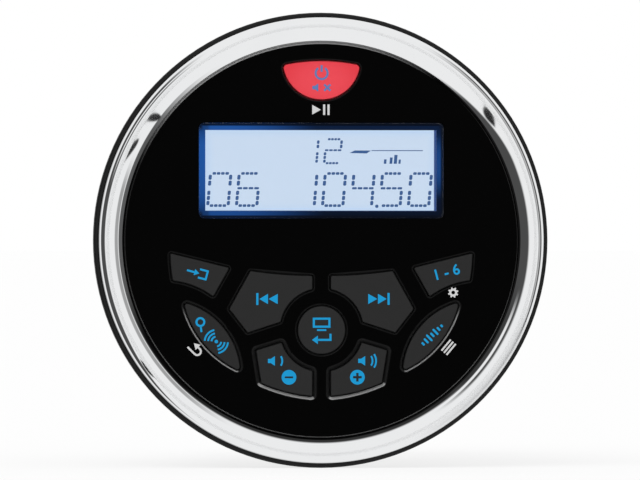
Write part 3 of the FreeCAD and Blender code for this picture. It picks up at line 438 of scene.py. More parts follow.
class Value:
    """A number from a shader node. Arithmetic on it adds Math nodes."""

    def __init__(self, shading, socket):
        self.shading = shading
        self.socket = socket

    def math(self, operation, *values):
        return self.shading.value("ShaderNodeMath", {"operation": operation}, dict(enumerate(values)))

    def __add__(self, other):
        return self.math("ADD", self, other)

    __radd__ = __add__

    def __sub__(self, other):
        return self.math("SUBTRACT", self, other)

    def __rsub__(self, other):
        return self.math("SUBTRACT", other, self)

    def __neg__(self):
        return 0 - self

    def __mul__(self, other):
        return self.math("MULTIPLY", self, other)

    __rmul__ = __mul__

    def __truediv__(self, other):
        return self.math("DIVIDE", self, other)

    def __abs__(self):
        return self.math("ABSOLUTE", self)

    def larger(self, other):
        return self.math("MAXIMUM", self, other)

    def root(self):
        return self.math("SQRT", self)

    def ramp(self, start, full):
        """0 at the start and 1 where full, with a smooth rise between them."""
        sockets = {"Value": self, "From Min": start, "From Max": full}
        return self.shading.value("ShaderNodeMapRange", {"interpolation_type": "SMOOTHSTEP"}, sockets)

    def within(self, start, full, last, end):
        """1 between full and last, with a smooth fall to 0 at the start and the end."""
        return self.ramp(start, full) * self.ramp(end, last)


def distance(first, second):
    """The length of a flat vector from its two parts."""
    return (first * first + second * second).root()


class Shading:
    """The nodes of one material or world."""

    def __init__(self, tree):
        self.tree = tree
        tree.nodes.clear()

    def node(self, kind, settings=None, sockets=None):
        """Adds a node, sets it up, then fills or links its sockets."""
        node = self.tree.nodes.new(kind)
        for key, setting in (settings or {}).items():
            setattr(node, key, setting)
        for key, filling in (sockets or {}).items():
            filling = getattr(filling, "socket", filling)
            if isinstance(filling, bpy.types.NodeSocket):
                self.tree.links.new(filling, node.inputs[key])
            else:
                node.inputs[key].default_value = filling
        return node

    def value(self, kind, settings=None, sockets=None, output=0):
        return Value(self, self.node(kind, settings, sockets).outputs[output])

    def parts(self, vector):
        """The x, y and z of a vector."""
        split = self.node("ShaderNodeSeparateXYZ", {}, {0: vector})
        return [Value(self, split.outputs[index]) for index in range(3)]

    def point(self, stretch=(1, 1, 1)):
        """The point on the piece, in metres, drawn out along an axis by a small stretch."""
        place = self.node("ShaderNodeTexCoord").outputs["Object"]
        return self.node("ShaderNodeMapping", {}, {"Vector": place, "Scale": stretch}).outputs[0]

    def axes(self):
        """The point's x, y and z in mm."""
        return [part / MM for part in self.parts(self.point())]

    def facing(self):
        """The x, y and z of the way that the surface faces."""
        return self.parts(self.node("ShaderNodeTexCoord").outputs["Normal"])

    def ray(self, kind):
        """1 for rays of one kind, and 0 for the others."""
        return self.value("ShaderNodeLightPath", output=f"Is {kind} Ray")

    def upper_left(self):
        """1 on the part of the face's rim round the upper left, where light from the sky is painted on."""
        x, y, z = self.axes()
        turn = math.radians(RIM_LIGHT_TURN)
        towards = (x * math.cos(turn) + z * math.sin(turn)) / distance(x, z)
        return towards.ramp(*RIM_LIGHT_REACH)

    def cloud(self, size, detail=2.0, stretch=(1, 1, 1)):
        """Soft patches from 0 to 1, about as wide as a size in mm."""
        sockets = {"Vector": self.point(stretch), "Scale": 1 / (size * MM), "Detail": detail}
        return self.value("ShaderNodeTexNoise", {}, sockets)

    def cells(self, size):
        """Distance to the nearest of many scattered points, about a size in mm apart."""
        return self.value("ShaderNodeTexVoronoi", {}, {"Vector": self.point(), "Scale": 1 / (size * MM)})

    def mix(self, share, first, second):
        """A colour between two, by a share from 0 to 1."""
        sockets = {0: share, 6: self.colour(first), 7: self.colour(second)}
        return self.node("ShaderNodeMix", {"data_type": "RGBA"}, sockets).outputs[2]

    def colour(self, value):
        """A colour as a socket takes it. A single number is a grey."""
        if isinstance(value, bpy.types.NodeSocket):
            return value
        return (value, value, value, 1) if isinstance(value, float) else (*value, 1)

    def bump(self, height, depth):
        """A relief from a height of 0 to 1, as deep as a depth in mm."""
        sockets = {"Height": height, "Distance": depth * MM, "Strength": 1.0}
        return self.node("ShaderNodeBump", {}, sockets).outputs[0]

    def surface(self, sockets):
        shader = self.node("ShaderNodeBsdfPrincipled", {}, sockets)
        self.node("ShaderNodeOutputMaterial", {}, {"Surface": shader.outputs[0]})


# Finishes


FINISHES = {}


def new_material(name):
    """Starts a finish that pieces are dressed in by its name."""
    material = bpy.data.materials.new(name)
    material.use_nodes = True
    FINISHES[name] = material
    return Shading(material.node_tree)


def plain_finish(
    name, dark, light, rough, patch=9.0, grain=0.25, depth=0.01, stretch=(1, 1, 1), shine=0.5, metal=0.0
):
    """A finish with a slightly uneven colour and gloss and a fine grain.

    dark and light are the colours it varies between, and rough the lowest and highest roughness.
    """
    shading = new_material(name)
    uneven = shading.cloud(patch, 4.0, stretch)
    fine = shading.cloud(grain, 3.0, stretch)
    shading.surface(
        {
            "Base Color": shading.mix(uneven * 0.6 + fine * 0.4, dark, light),
            "Roughness": rough[0] + (rough[1] - rough[0]) * uneven,
            "Specular IOR Level": shine,
            "Metallic": metal,
            "Normal": shading.bump(fine, depth),
        }
    )


def chrome():
    """Bright chrome, dull where hands rub its ridge and lower right, with painted shade low down by the
    face.
    """
    shading = new_material("chrome")
    haze = shading.cloud(14.0, 5.0)
    x, y, z = shading.axes()
    radius = distance(x, z)
    rubbed = abs(radius - RIDGE_RADIUS).ramp(*RUBBED_WIDTHS)
    # Painted shade on the inner slope, low down by the face and lighter towards the lower right
    painted_shade = (radius - RING_INNER).ramp(*PAINTED_SHADE_WIDTHS) * (z / radius).ramp(-0.15, -0.5)
    painted_shade = painted_shade * (1 - 0.6 * (x / radius).ramp(0.6, 0.8))
    worn = (radius - RIDGE_RADIUS).ramp(*WORN_WIDTHS) * (z / radius).ramp(-0.25, -0.5)
    worn = worn * (x / radius).ramp(0.3, 0.6)
    metal = shading.mix(haze, (0.8, 0.81, 0.82), (0.84, 0.845, 0.85))
    shading.surface(
        {
            "Base Color": shading.mix(painted_shade, metal, 0.03),
            "Metallic": 1.0,
            "Roughness": 0.02 + 0.03 * haze + (0.3 * rubbed).larger(0.4 * worn),
            "Normal": shading.bump(shading.cloud(9.0), 0.002),
        }
    )


def gloss_black():
    """Deep gloss face with painted highlights on its cut edges: the rim, low down and upper left, and lower
    lips.
    """
    shading = new_material("gloss_black")
    haze = shading.cloud(25.0, 6.0)
    dust = shading.cells(2.4).ramp(0.035, 0.02)
    x, y, z = shading.axes()
    facing_x, facing_y, facing_z = shading.facing()
    radius = distance(x, z)
    cut = (y - front_of("fascia")).ramp(*CUT_DEPTHS) * (-facing_y).ramp(0.15, 0.35)
    inward = -(x * facing_x + z * facing_z) / radius
    # Painted highlights on the lower lips of the outer openings, where they face inwards
    lip = cut * inward.ramp(0.42, 0.6) * radius.within(*LIP_RADII) * z.ramp(*LIP_HEIGHTS)
    # Painted highlight on the rim's bevel, brightest low down and none at the top
    rim_highlight = cut * radius.within(*BEVEL_RADII)
    rim_highlight = rim_highlight * (0.15 + 0.85 * z.ramp(*BEVEL_FOOT)) * z.ramp(*BEVEL_TOP)
    # Painted glint on the rim's bevel round the upper left
    glint = cut * radius.ramp(BEVEL_RADII[0], BEVEL_RADII[2]) * shading.upper_left()
    base = shading.mix(dust, 0.0007, 0.005)
    # A faint painted highlight on the cut edges of all the openings
    base = shading.mix(cut * radius.ramp(LIP_RADII[3], LIP_RADII[2]), base, 0.018)
    base = shading.mix(rim_highlight, base, 0.2)
    base = shading.mix(glint, base, 0.5)
    base = shading.mix(lip, base, 0.36)
    shading.surface(
        {
            "Base Color": base,
            "Roughness": 0.02 + 0.03 * haze,
            "Specular IOR Level": 0.12,
            "Normal": shading.bump(shading.cloud(7.0), 0.0008),
        }
    )


def rim_black():
    """Fine-grained black plastic. Inside the ring it has painted shade, and a painted highlight round the
    upper left.
    """
    shading = new_material("rim_black")
    x, y, z = shading.axes()
    open_side = distance(x, z).ramp(*RING_SHADE_RADII)
    fine = shading.cloud(0.3, 3.0)
    uneven = shading.cloud(9.0, 4.0)
    outside = shading.mix(uneven * 0.6 + fine * 0.4, 0.004, 0.008)
    # Inside the ring: painted shade, and a painted highlight round the upper left
    inside = shading.mix(shading.upper_left(), 0.0008, 0.4)
    shading.surface(
        {
            "Base Color": shading.mix(open_side, inside, outside),
            "Roughness": 0.3 + 0.1 * uneven,
            "Specular IOR Level": 0.2,
            "Normal": shading.bump(fine, 0.015),
        }
    )


def lit_red():
    """Red silicone-topped plastic, with a painted glow of the lamp under it, a little lighter in the
    middle.
    """
    shading = new_material("lit_red")
    x, y, z = shading.axes()
    middle = middle_of("power_key")
    across, along = x - middle.x, z - middle.z
    # The painted glow of the lamp, lighter towards the middle
    off = across * across / KEY_LAMP_SPREAD[0] + along * along / KEY_LAMP_SPREAD[1]
    fine = shading.cloud(0.22, 3.0)
    shading.surface(
        {
            "Base Color": shading.mix(off.ramp(0.0, 1.0), (0.83, 0.063, 0.085), (0.76, 0.04, 0.058)),
            "Roughness": 0.34 + 0.1 * fine,
            "Specular IOR Level": 0.2,
            "Normal": shading.bump(fine, 0.006),
        }
    )


def display_light():
    """The lit ground of the display: pale blue, whiter in the middle and bluer at the edge, with a painted
    shadow of its frame at the right and foot.
    """
    shading = new_material("display_light")
    x, y, z = shading.axes()
    middle, half = middle_of("light_guide"), half_of("light_guide")
    across = abs((x - middle.x) / half.x)
    along = abs((z - middle.z) / half.z)
    edge = across.ramp(0.9, 1.03).larger(along.ramp(0.72, 1.06))
    cloudy = shading.cloud(16.0, 3.0)
    # Painted shadow of the frame along the right and the foot
    painted_frame_shadow = x.ramp(*DISPLAY_RIGHT).larger(z.ramp(*DISPLAY_FOOT))
    glow = shading.mix(edge * 0.85, (0.56, 0.675, 0.825), (0.44, 0.63, 0.89))
    glow = shading.mix(cloudy * 0.35, glow, (0.6, 0.71, 0.83))
    glow = shading.mix(painted_frame_shadow, glow, (0.01, 0.05, 0.2))
    shading.surface(
        {
            "Base Color": (0.02, 0.03, 0.05, 1),
            "Roughness": 0.35,
            "Specular IOR Level": 0.2,
            "Emission Color": glow,
            "Emission Strength": 1.0,
        }
    )


def blue_glow():
    """The ledge round the display, with a painted blue glow of light from behind, brightest at the upper
    left.

    Across and along it, -1 and 1 are its outer edges.
    """
    shading = new_material("blue_glow")
    x, y, z = shading.axes()
    middle, half = middle_of("window_seal"), half_of("window_seal")
    across = (x - middle.x) / half.x
    along = (z - middle.z) / half.z
    # The glow is painted light: brightest at the upper left, fading at the outer edges and corners
    upright = 1 - abs(along).ramp(0.5, 0.98)
    left = 1 - across.ramp(-0.8, 0.15)
    right = across.ramp(0.9, 0.95) * (1 - abs(along - 0.12).ramp(0.15, 0.85))
    ends = 0.75 + 0.25 * along.ramp(-1.0, 0.2)
    bright = (left * ends * (0.5 + 0.5 * upright.larger(across.ramp(-0.94, -0.9)))).larger(right * 0.62)
    bright = bright.larger(0.07 + 0.04 * along)
    corner = abs(across).ramp(0.955, 0.99) * abs(along).ramp(0.8, 0.93)
    edge = abs(along).ramp(0.925, 0.955).larger(across.ramp(0.975, 0.99)).larger(corner)
    bright = bright * (1 - 0.93 * edge)
    shading.surface(
        {
            "Base Color": (0.001, 0.002, 0.004, 1),
            "Roughness": 0.3,
            "Specular IOR Level": 0.2,
            "Emission Color": shading.mix(bright, (0.0015, 0.003, 0.008), (0.014, 0.085, 0.33)),
            "Emission Strength": 1.0,
        }
    )


def clear_window():
    shading = new_material("clear_window")
    shading.surface(
        {
            "Base Color": (0.985, 0.99, 1.0, 1),
            "Roughness": 0.012 * shading.cloud(20.0, 4.0),
            "IOR": 1.3,
            "Specular IOR Level": 0.3,
            "Transmission Weight": 1.0,
        }
    )


def glowing(name, colour, share):
    """A printed mark that is lit from behind: a share of its colour comes from its own light."""
    shading = new_material(name)
    fine = shading.cloud(0.5, 3.0)
    full = tuple(value * (1 - share) for value in colour)
    dim = tuple(value * 0.94 for value in full)
    lit = tuple(value * share for value in colour)
    shading.surface(
        {
            "Base Color": shading.mix(fine, dim, full),
            "Roughness": 0.4 + 0.1 * fine,
            "Specular IOR Level": 0.1,
            "Emission Color": (*lit, 1),
            "Emission Strength": 1.0,
        }
    )


def circuit_green():
    """Green solder mask over fine copper tracks."""
    shading = new_material("circuit_green")
    tracks = shading.cells(3.2).ramp(0.42, 0.5)
    pads = shading.cells(5.5).ramp(0.12, 0.09)
    ground = shading.mix(tracks, (0.006, 0.09, 0.03), (0.012, 0.15, 0.05))
    shading.surface(
        {
            "Base Color": shading.mix(pads, ground, (0.55, 0.5, 0.36)),
            "Metallic": pads,
            "Roughness": 0.34 + 0.12 * tracks,
            "Normal": shading.bump(tracks, 0.02),
        }
    )


def wound_copper():
    """Enamelled wire wound round a core, as bands that run over it."""
    shading = new_material("wound_copper")
    turns = shading.value(
        "ShaderNodeTexWave",
        {"wave_type": "RINGS", "rings_direction": "Z"},
        {"Vector": shading.point(), "Scale": 260.0, "Distortion": 0.6, "Detail": 1.0},
    )
    shading.surface(
        {
            "Base Color": shading.mix(turns, (0.16, 0.04, 0.012), (0.62, 0.24, 0.09)),
            "Metallic": 0.8,
            "Roughness": 0.3 + 0.15 * turns,
            "Normal": shading.bump(turns, 0.2),
        }
    )


def capacitor_sleeve():
    """Dark sleeve with a pale stripe down one side and a bare metal top."""
    shading = new_material("capacitor_sleeve")
    x, y, z = shading.axes()
    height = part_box("filter_capacitors")[1].z / MM
    bare = z.ramp(height - SLEEVE_TOP[0], height - SLEEVE_TOP[1])
    stripe = abs(y - front_of("filter_capacitors")).ramp(*SLEEVE_STRIPE)
    fine = shading.cloud(0.8, 3.0)
    sleeve = shading.mix(stripe, (0.008, 0.01, 0.03), 0.5)
    shading.surface(
        {
            "Base Color": shading.mix(bare, sleeve, 0.62),
            "Metallic": bare,
            "Roughness": 0.25 + 0.1 * fine,
            "Normal": shading.bump(fine, 0.01),
        }
    )


PLAIN_FINISHES = {
    "key_charcoal": dict(dark=0.011, light=0.015, rough=(0.42, 0.5), grain=0.16, depth=0.006, shine=0.22),
    "satin_black": dict(dark=0.006, light=0.011, rough=(0.36, 0.46), grain=0.3, depth=0.02, shine=0.4),
    "black_rubber": dict(dark=0.016, light=0.028, rough=(0.5, 0.65), grain=0.5, depth=0.02, shine=0.4),
    "black_foam": dict(dark=0.008, light=0.03, rough=(0.8, 0.95), grain=0.35, depth=0.12, shine=0.2),
    "grey_rubber": dict(dark=0.2, light=0.27, rough=(0.6, 0.75), grain=0.5),
    "white_plastic": dict(dark=0.66, light=0.74, rough=(0.4, 0.5), grain=0.4),
    "frosted_clear": dict(dark=(0.7, 0.78, 0.86), light=(0.78, 0.85, 0.92), rough=(0.5, 0.6), grain=0.3),
    "lamp_resin": dict(
        dark=(0.75, 0.8, 0.9), light=(0.85, 0.9, 1.0), rough=(0.15, 0.25), grain=0.4, depth=0.004
    ),
    "chip_black": dict(dark=0.008, light=0.016, rough=(0.55, 0.7), grain=0.12),
    "tin_plate": dict(dark=0.5, light=0.62, rough=(0.28, 0.42), grain=0.3, depth=0.004, metal=1.0),
    "zinc_steel": dict(
        dark=(0.5, 0.5, 0.47), light=(0.62, 0.61, 0.58), rough=(0.3, 0.45), grain=0.3, metal=1.0
    ),
    "cast_aluminium": dict(
        dark=0.33, light=0.48, rough=(0.42, 0.55), patch=5.0, grain=0.28, depth=0.05, metal=1.0
    ),
    "black_anodised": dict(
        dark=0.02,
        light=0.042,
        rough=(0.26, 0.38),
        patch=1.2,
        grain=0.12,
        depth=0.012,
        stretch=(1, 1, 0.04),
        metal=0.6,
    ),
    "brushed_steel": dict(
        dark=0.48,
        light=0.64,
        rough=(0.2, 0.36),
        patch=2.0,
        grain=0.1,
        depth=0.006,
        stretch=(0.03, 0.03, 1),
        metal=1.0,
    ),
    "machined_steel": dict(dark=0.52, light=0.64, rough=(0.2, 0.32), grain=0.3, depth=0.004, metal=1.0),
    "nickel_plate": dict(
        dark=(0.6, 0.57, 0.5), light=(0.68, 0.65, 0.58), rough=(0.16, 0.28), depth=0.003, metal=1.0
    ),
}

# Marks that are lit from behind, each with its colour and the share of it that is its own light
LIT_MARKS = {
    "legend_blue": ((0.009, 0.315, 0.635), 0.5),
    "power_blue": ((0.12, 0.2, 0.44), 0.5),
    "mark_white": ((0.66, 0.66, 0.66), 0.3),
    "display_ink": ((0.028, 0.095, 0.27), 0.95),
}


def make_finishes():
    for make in (chrome, gloss_black, rim_black, lit_red, display_light, blue_glow, clear_window):
        make()
    for make in (circuit_green, wound_copper, capacitor_sleeve):
        make()
    for name, settings in PLAIN_FINISHES.items():
        plain_finish(name, **settings)
    for name, (colour, share) in LIT_MARKS.items():
        glowing(name, colour, share)


def dress(piece, finish):
    """Gives every material slot of a piece one finish."""
    if not piece.material_slots:
        piece.data.materials.append(None)
    for material_slot in piece.material_slots:
        material_slot.material = FINISHES[finish]


def add(piece, body, finish, record_slot, *replaced):
    """Puts a finished piece on its body, with its finish and the solids that it stands for."""
    dress(piece, finish)
    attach(piece, body)
    if replaced:
        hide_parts(*replaced)


def add_copy(name, node, body, finish, record_slot, soft_edge=0.0, angle=SMOOTH_ANGLE):
    """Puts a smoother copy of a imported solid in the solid's place."""
    add(solid_copy(name, node, soft_edge, angle), body, finish, record_slot, node)


# Chrome ring


def make_ring():
    """Ring with a long inner slope and a rounded outer side, hollow behind, with six snap hooks."""
    crown = front_of("bezel_ring")
    shoulder = crown + RING_CROWN
    ceiling = crown + RING_TOP_WALL
    foot = crown + RING_OUTER_DEPTH
    root = RING_OUTER - RING_WALL
    reach = math.degrees(math.asin((RIDGE_RADIUS - RING_INNER) / RING_INNER_CURVE))
    slope_centre = (RIDGE_RADIUS, crown + RING_INNER_CURVE)
    profile = arc(slope_centre, RING_INNER_CURVE, -90 - reach, -90, 24)
    for across, down in arc((0, 0), 1, 90, 0, 20)[1:-1]:
        profile.append((RIDGE_RADIUS + RING_RIDGE * across, shoulder - RING_CROWN * down))
    profile += [
        (RING_OUTER, shoulder),
        (RING_OUTER, foot),
        (root + HOOK_WALL, foot),
        (root, foot),
        (root, ceiling),
        (RING_INNER + RING_WALL, ceiling),
        (RING_INNER + RING_WALL, crown + RING_INNER_DEPTH),
        (RING_INNER, crown + RING_INNER_DEPTH),
    ]
    ring = turned("chrome_ring", profile, steps=RING_STEPS, angle=45.0)
    grow_hooks(ring, foot, root)
    add(ring, "chassis", "chrome", "chrome_trim", "bezel_ring")


def grow_hooks(ring, foot, root):
    """Extrudes six hooks from the foot of the ring's outer wall, each with a barb on its inner side."""
    for face in ring.data.polygons:
        angle = math.degrees(math.atan2(face.center.z, face.center.x)) % 360
        near_hook = min(abs(angle - hook % 360) for hook in HOOK_ANGLES) < HOOK_HALF_ANGLE
        on_foot = abs(face.center.y / MM - foot) < NEAR
        inside = math.hypot(face.center.x, face.center.z) / MM < root + HOOK_WALL
        face.select = near_hook and on_foot and inside
    for part in (*ring.data.vertices, *ring.data.edges):
        part.select = False
    editing(ring)
    bpy.ops.mesh.select_mode(type="FACE")
    middle = root + HOOK_WALL / 2
    for back, radial in ((HOOK_REACH, 0.0), (HOOK_BARB_STEP, -HOOK_BARB), (HOOK_BARB_LENGTH, HOOK_BARB)):
        bpy.ops.mesh.extrude_region_move(TRANSFORM_OT_translate={"value": (0, back * MM, 0)})
        scale = (middle + radial / 2) / middle
        bpy.ops.transform.resize(value=(scale, 1, scale), center_override=(0, 0, 0))
    bpy.ops.mesh.select_mode(type="VERT")
    done_editing()
    smooth(ring, 45.0)


# Signs, drawn flat in mm with x to the right and z up, then set on the surface that carries them


def moved(points, x, z, turn=0.0):
    """Points turned anticlockwise about the origin, then moved."""
    c, s = math.cos(math.radians(turn)), math.sin(math.radians(turn))
    return [(x + a * c - b * s, z + a * s + b * c) for a, b in points]


def bar(x, z, width, height, turn=0.0):
    """A rectangle round a centre."""
    corners = [(-0.5, -0.5), (0.5, -0.5), (0.5, 0.5), (-0.5, 0.5)]
    return moved([(a * width, b * height) for a, b in corners], x, z, turn)


def capsule(x, z, length, width, turn, share=0.6):
    """A short stroke with rounded corners."""
    corner = width / 2 * share
    a, b = length / 2 - corner, width / 2 - corner
    points = []
    for centre, start in (((a, -b), -90), ((a, b), 0), ((-a, b), 90), ((-a, -b), 180)):
        points += arc(centre, corner, start, start + 90, 3)
    return moved(points, x, z, turn)


def triangle(x, z, width, height, turn=0.0):
    """A triangle that points right."""
    return moved([(-width / 2, -height / 2), (width / 2, 0), (-width / 2, height / 2)], x, z, turn)


def disc(x, z, radius):
    return moved(arc((0, 0), radius, 0, 350, 35), x, z)


def band(x, z, radius, width, start, end):
    """A curved stroke between two angles."""
    steps = max(6, int(abs(end - start) / CURVE_STEP))
    outside = arc((0, 0), radius + width / 2, start, end, steps)
    inside = arc((0, 0), radius - width / 2, end, start, steps)
    return moved(outside + inside, x, z)


def stroke(path, width):
    """A line of one width along a path, as one closed outline."""
    points = [Vector(point) for point in path]
    left, right = [], []
    for index, point in enumerate(points):
        run_in = (point - points[max(index - 1, 0)]).normalized()
        run_out = (points[min(index + 1, len(points) - 1)] - point).normalized()
        along = (run_in + run_out).normalized()
        side = Vector((-along.y, along.x))
        reach = width / 2 / max(along.dot(run_out if run_out.length else run_in), 0.5)
        left.append(tuple(point + side * reach))
        right.append(tuple(point - side * reach))
    return left + right[::-1]


def cross(x, z, size, width, turn=0.0):
    """A plus sign as one outline."""
    long, short = size / 2, width / 2
    quarter = [(short, short), (short, long), (-short, long)]
    points = []
    for index in range(4):
        points += moved(quarter, 0, 0, 90 * index)
    return moved(points, x, z, turn)


def speaker(x, z, size=1.0):
    outline = [(-1.3, -0.5), (-0.6, -0.5), (0.35, -1.15), (0.35, 1.15), (-0.6, 0.5), (-1.3, 0.5)]
    return moved([(a * size, b * size) for a, b in outline], x, z)


def cog(outer, inner, teeth):
    pitch = 360.0 / teeth
    points = []
    for index in range(teeth):
        middle = pitch * index
        points += arc((0, 0), outer, middle - COG_TOP, middle + COG_TOP, 1)
        points += arc((0, 0), inner, middle + COG_ROOT, middle + pitch - COG_ROOT, 1)
    return points


def flat_piece(name, outlines, x, depth, z, turn=0.0, height=SIGN_HEIGHT):
    """A thin raised piece from closed outlines, standing forward of a surface at a depth in mm."""
    curve = bpy.data.curves.new(name, "CURVE")
    curve.dimensions = "2D"
    curve.fill_mode = "BOTH"
    curve.extrude = (height + SIGN_SINK) / 2 * MM
    for outline in outlines:
        spline = curve.splines.new("POLY")
        spline.points.add(len(outline) - 1)
        for point, (a, b) in zip(spline.points, outline):
            point.co = (a * MM, b * MM, 0, 1)
        spline.use_cyclic_u = True
    return stand(curve, name, x, depth, z, turn, height)


def stand(curve, name, x, depth, z, turn, height):
    """Makes a flat curve or text a mesh, upright on the face and turned in its plane."""
    focus(link(bpy.data.objects.new(name, curve)))
    bpy.ops.object.convert(target="MESH")
    piece = bpy.context.object
    place = Vector((x, depth - (height - SIGN_SINK) / 2, z)) * MM
    upright = Matrix.Rotation(math.radians(90), 4, "X")
    piece.matrix_world = Matrix.Translation(place) @ upright @ Matrix.Rotation(math.radians(turn), 4, "Z")
    settle(piece, name)
    weld(piece)
    return piece


def sign_place(name):
    """A sign's middle in mm, from the keys' axis and the face's centre, and its turn."""
    across, down, turn = SIGN_PLACES_PX[name]
    x = (across - KEYS_AXIS_PX) * PHOTO_MM_PER_PX
    z = (FACE_CENTRE_PX[1] - down) * PHOTO_MM_PER_PX
    return x, z, turn


def key_sign(key, name, outlines, finish="legend_blue", record_slot="legend_blue", height=SIGN_HEIGHT):
    """A sign on a key's front, which moves with the key."""
    x, z, turn = sign_place(name)
    add(flat_piece(name, outlines, x, front_of(key), z, turn, height), key, finish, record_slot)


def face_sign(name, outlines):
    """A white sign on the fascia's front."""
    x, z, turn = sign_place(name)
    piece = flat_piece(name, outlines, x, front_of("fascia"), z, turn)
    add(piece, "chassis", "mark_white", "mark_white")


def make_power_signs():
    power = [band(0, 0, 1.42, BOLD_LINE, 125, 415), bar(0, 1.1, BOLD_LINE, 1.6)]
    key_sign("power_key", "power_sign", power, "power_blue")
    quiet = [speaker(-1.1, 0.0, 0.85), cross(1.35, 0.0, 2.1, BOLD_LINE, 45)]
    key_sign("power_key", "quiet_sign", quiet, "power_blue")


def make_skip_signs():
    """A bar with two arrowheads that point left, and its mirror image."""
    previous = [
        bar(-2.31, 0, 0.52, 2.82),
        triangle(-0.81, 0, 2.06, 2.43, 180),
        triangle(1.45, 0, 2.16, 2.43, 180),
    ]
    key_sign("previous_key", "previous_sign", previous)
    following = [[(-a, b) for a, b in outline] for outline in previous]
    key_sign("next_key", "next_sign", following)


def make_preset_numbers():
    """Plain numbers in the same thin raised form as the signs."""
    name = "preset_numbers"
    curve = bpy.data.curves.new(name, "FONT")
    curve.body = "1 - 6"
    curve.size = NUMBER_SIZE * MM
    curve.align_x = "CENTER"
    curve.align_y = "CENTER"
    curve.offset = NUMBER_WEIGHT * MM
    curve.resolution_u = 4
    curve.extrude = (SIGN_HEIGHT + SIGN_SINK) / 2 * MM
    x, z, turn = sign_place(name)
    numbers = stand(curve, name, x, front_of("preset_key"), z, turn, SIGN_HEIGHT)
    add(numbers, "preset_key", "legend_blue", "legend_blue")


def make_side_signs():
    """An arrow into a socket, numbers, a magnifier over waves, and level bars."""
    source = [
        stroke([(0.5, 1.0), (2.4, 1.0), (2.4, -1.0), (0.5, -1.0)], LINE),
        bar(-1.55, 0, 1.8, LINE),
        triangle(-0.02, 0, 1.2, 1.5),
    ]
    key_sign("source_key", "source_sign", source)
    make_preset_numbers()
    magnifier = [disc(0, 0, 1.17), disc(0, 0, 0.68), capsule(0.18, -1.75, 1.3, LINE, -82)]
    key_sign("band_key", "search_sign", magnifier)
    waves = [disc(0, 0, FINE_LINE)]
    for radius in (1.15, 1.95, 2.75):
        waves += [band(0, 0, radius, FINE_LINE, start, start + 76) for start in (-38, 142)]
    key_sign("band_key", "band_sign", waves)
    levels = (0.9, 1.5, 2.1, 1.3, 1.9, 1.1, 0.7)
    equaliser = [capsule((index - 3) * 1.02, 0, 0.5, level, 0, 0.3) for index, level in enumerate(levels)]
    key_sign("audio_key", "sound_sign", equaliser)


def make_enter_signs():
    screen = [bar(0, 0.3, 4.2, 2.4), bar(0, 0.3, 3.2, 1.4), bar(0, -1.45, 2.2, FINE_LINE)]
    key_sign("enter_key", "display_sign", screen)
    enter = [
        stroke([(2.1, 1.1), (2.1, -0.35), (-0.85, -0.35)], BOLD_LINE),
        triangle(-1.6, -0.35, 1.4, 2.0, 180),
    ]
    key_sign("enter_key", "enter_sign", enter)


def make_volume_signs():
    """Speakers with one wave and with two, and a dark minus and plus on discs."""
    quieter = [speaker(-1.0, 0), band(-0.9, 0, 2.0, FINE_LINE, -34, 34)]
    key_sign("volume_down_key", "quieter_sign", quieter)
    louder = [speaker(-1.4, 0)] + [band(-1.3, 0, radius, FINE_LINE, -34, 34) for radius in (2.0, 2.85)]
    key_sign("volume_up_key", "louder_sign", louder)
    for key, name, sign in (
        ("volume_down_key", "minus", [bar(0, 0, 1.95, FINE_LINE)]),
        ("volume_up_key", "plus", [cross(0, 0, 2.05, 0.55)]),
    ):
        key_sign(key, name + "_disc", [disc(0, 0, 1.75)])
        key_sign(key, name + "_sign", sign, "key_charcoal", "key_charcoal", UPPER_SIGN_HEIGHT)


def make_face_signs():
    play = [triangle(-1.18, 0, 2.05, 2.3), bar(0.63, 0, BOLD_LINE, 2.5), bar(1.66, 0, BOLD_LINE, 2.5)]
    face_sign("play_pause_sign", play)
    bend = arc((1.0, 0.0), 0.85, -90, 90, 8)
    back = [
        stroke([(-1.4, -0.85), *bend, (0.5, 0.85)], 0.45),
        triangle(-0.24, 0.85, 1.4, 1.7, 180),
    ]
    face_sign("back_sign", back)
    face_sign("list_sign", [bar(0, height, 3.4, FINE_LINE) for height in (-0.78, 0, 0.78)])
    face_sign("settings_sign", [cog(1.25, 0.95, 8), disc(0, 0, 0.45)])


# Display


def digit(character, left, foot, width, height, line):
    """One numeral as short dashes along its segments, leaning right."""
    outlines = []
    for letter in DIGITS[character]:
        (x0, z0), (x1, z1), count, set_back, thickness = SEGMENTS[letter]
        start = Vector((x0 * width, z0 * height))
        run = Vector((x1 * width, z1 * height)) - start
        inset = run.normalized() * line * set_back
        start, run = start + inset, run - 2 * inset
        step = run / count
        turn = math.degrees(math.atan2(run.y, run.x))
        for index in range(count):
            middle = start + step * (index + 0.5)
            length = step.length * DASH_LENGTH
            dash = capsule(middle.x, middle.y, length, line * thickness, turn, DASH_ROUNDING)
            outlines.append([(left + x + z * SEGMENT_LEAN, foot + z) for x, z in dash])
    return outlines


def make_display():
    """Dark segments on the front of the display's glass: numbers, a tuning line and level bars."""
    outlines = [disc(*NUMERAL_POINT), TUNING_POINTER, bar(*TUNING_LINE)]
    for characters, (left, foot, spacing, width, height, line) in NUMERAL_ROWS.items():
        for cell, character in enumerate(characters):
            if character != " ":
                outlines += digit(character, left + spacing * cell, foot, width, height, line)
    for x, top, width in LEVEL_BARS:
        level = bar(x, top / 2, width, top)
        outlines.append([(a + b * SEGMENT_LEAN, LEVEL_FOOT + b) for a, b in level])
    depth, z = front_of("lcd_glass"), middle_of("lcd_glass").z
    piece = flat_piece("display_segments", outlines, 0.0, depth, z, 0.0, SEGMENT_HEIGHT)
    add(piece, "chassis", "display_ink", "display_ink")


# Keys, face and the pieces behind it


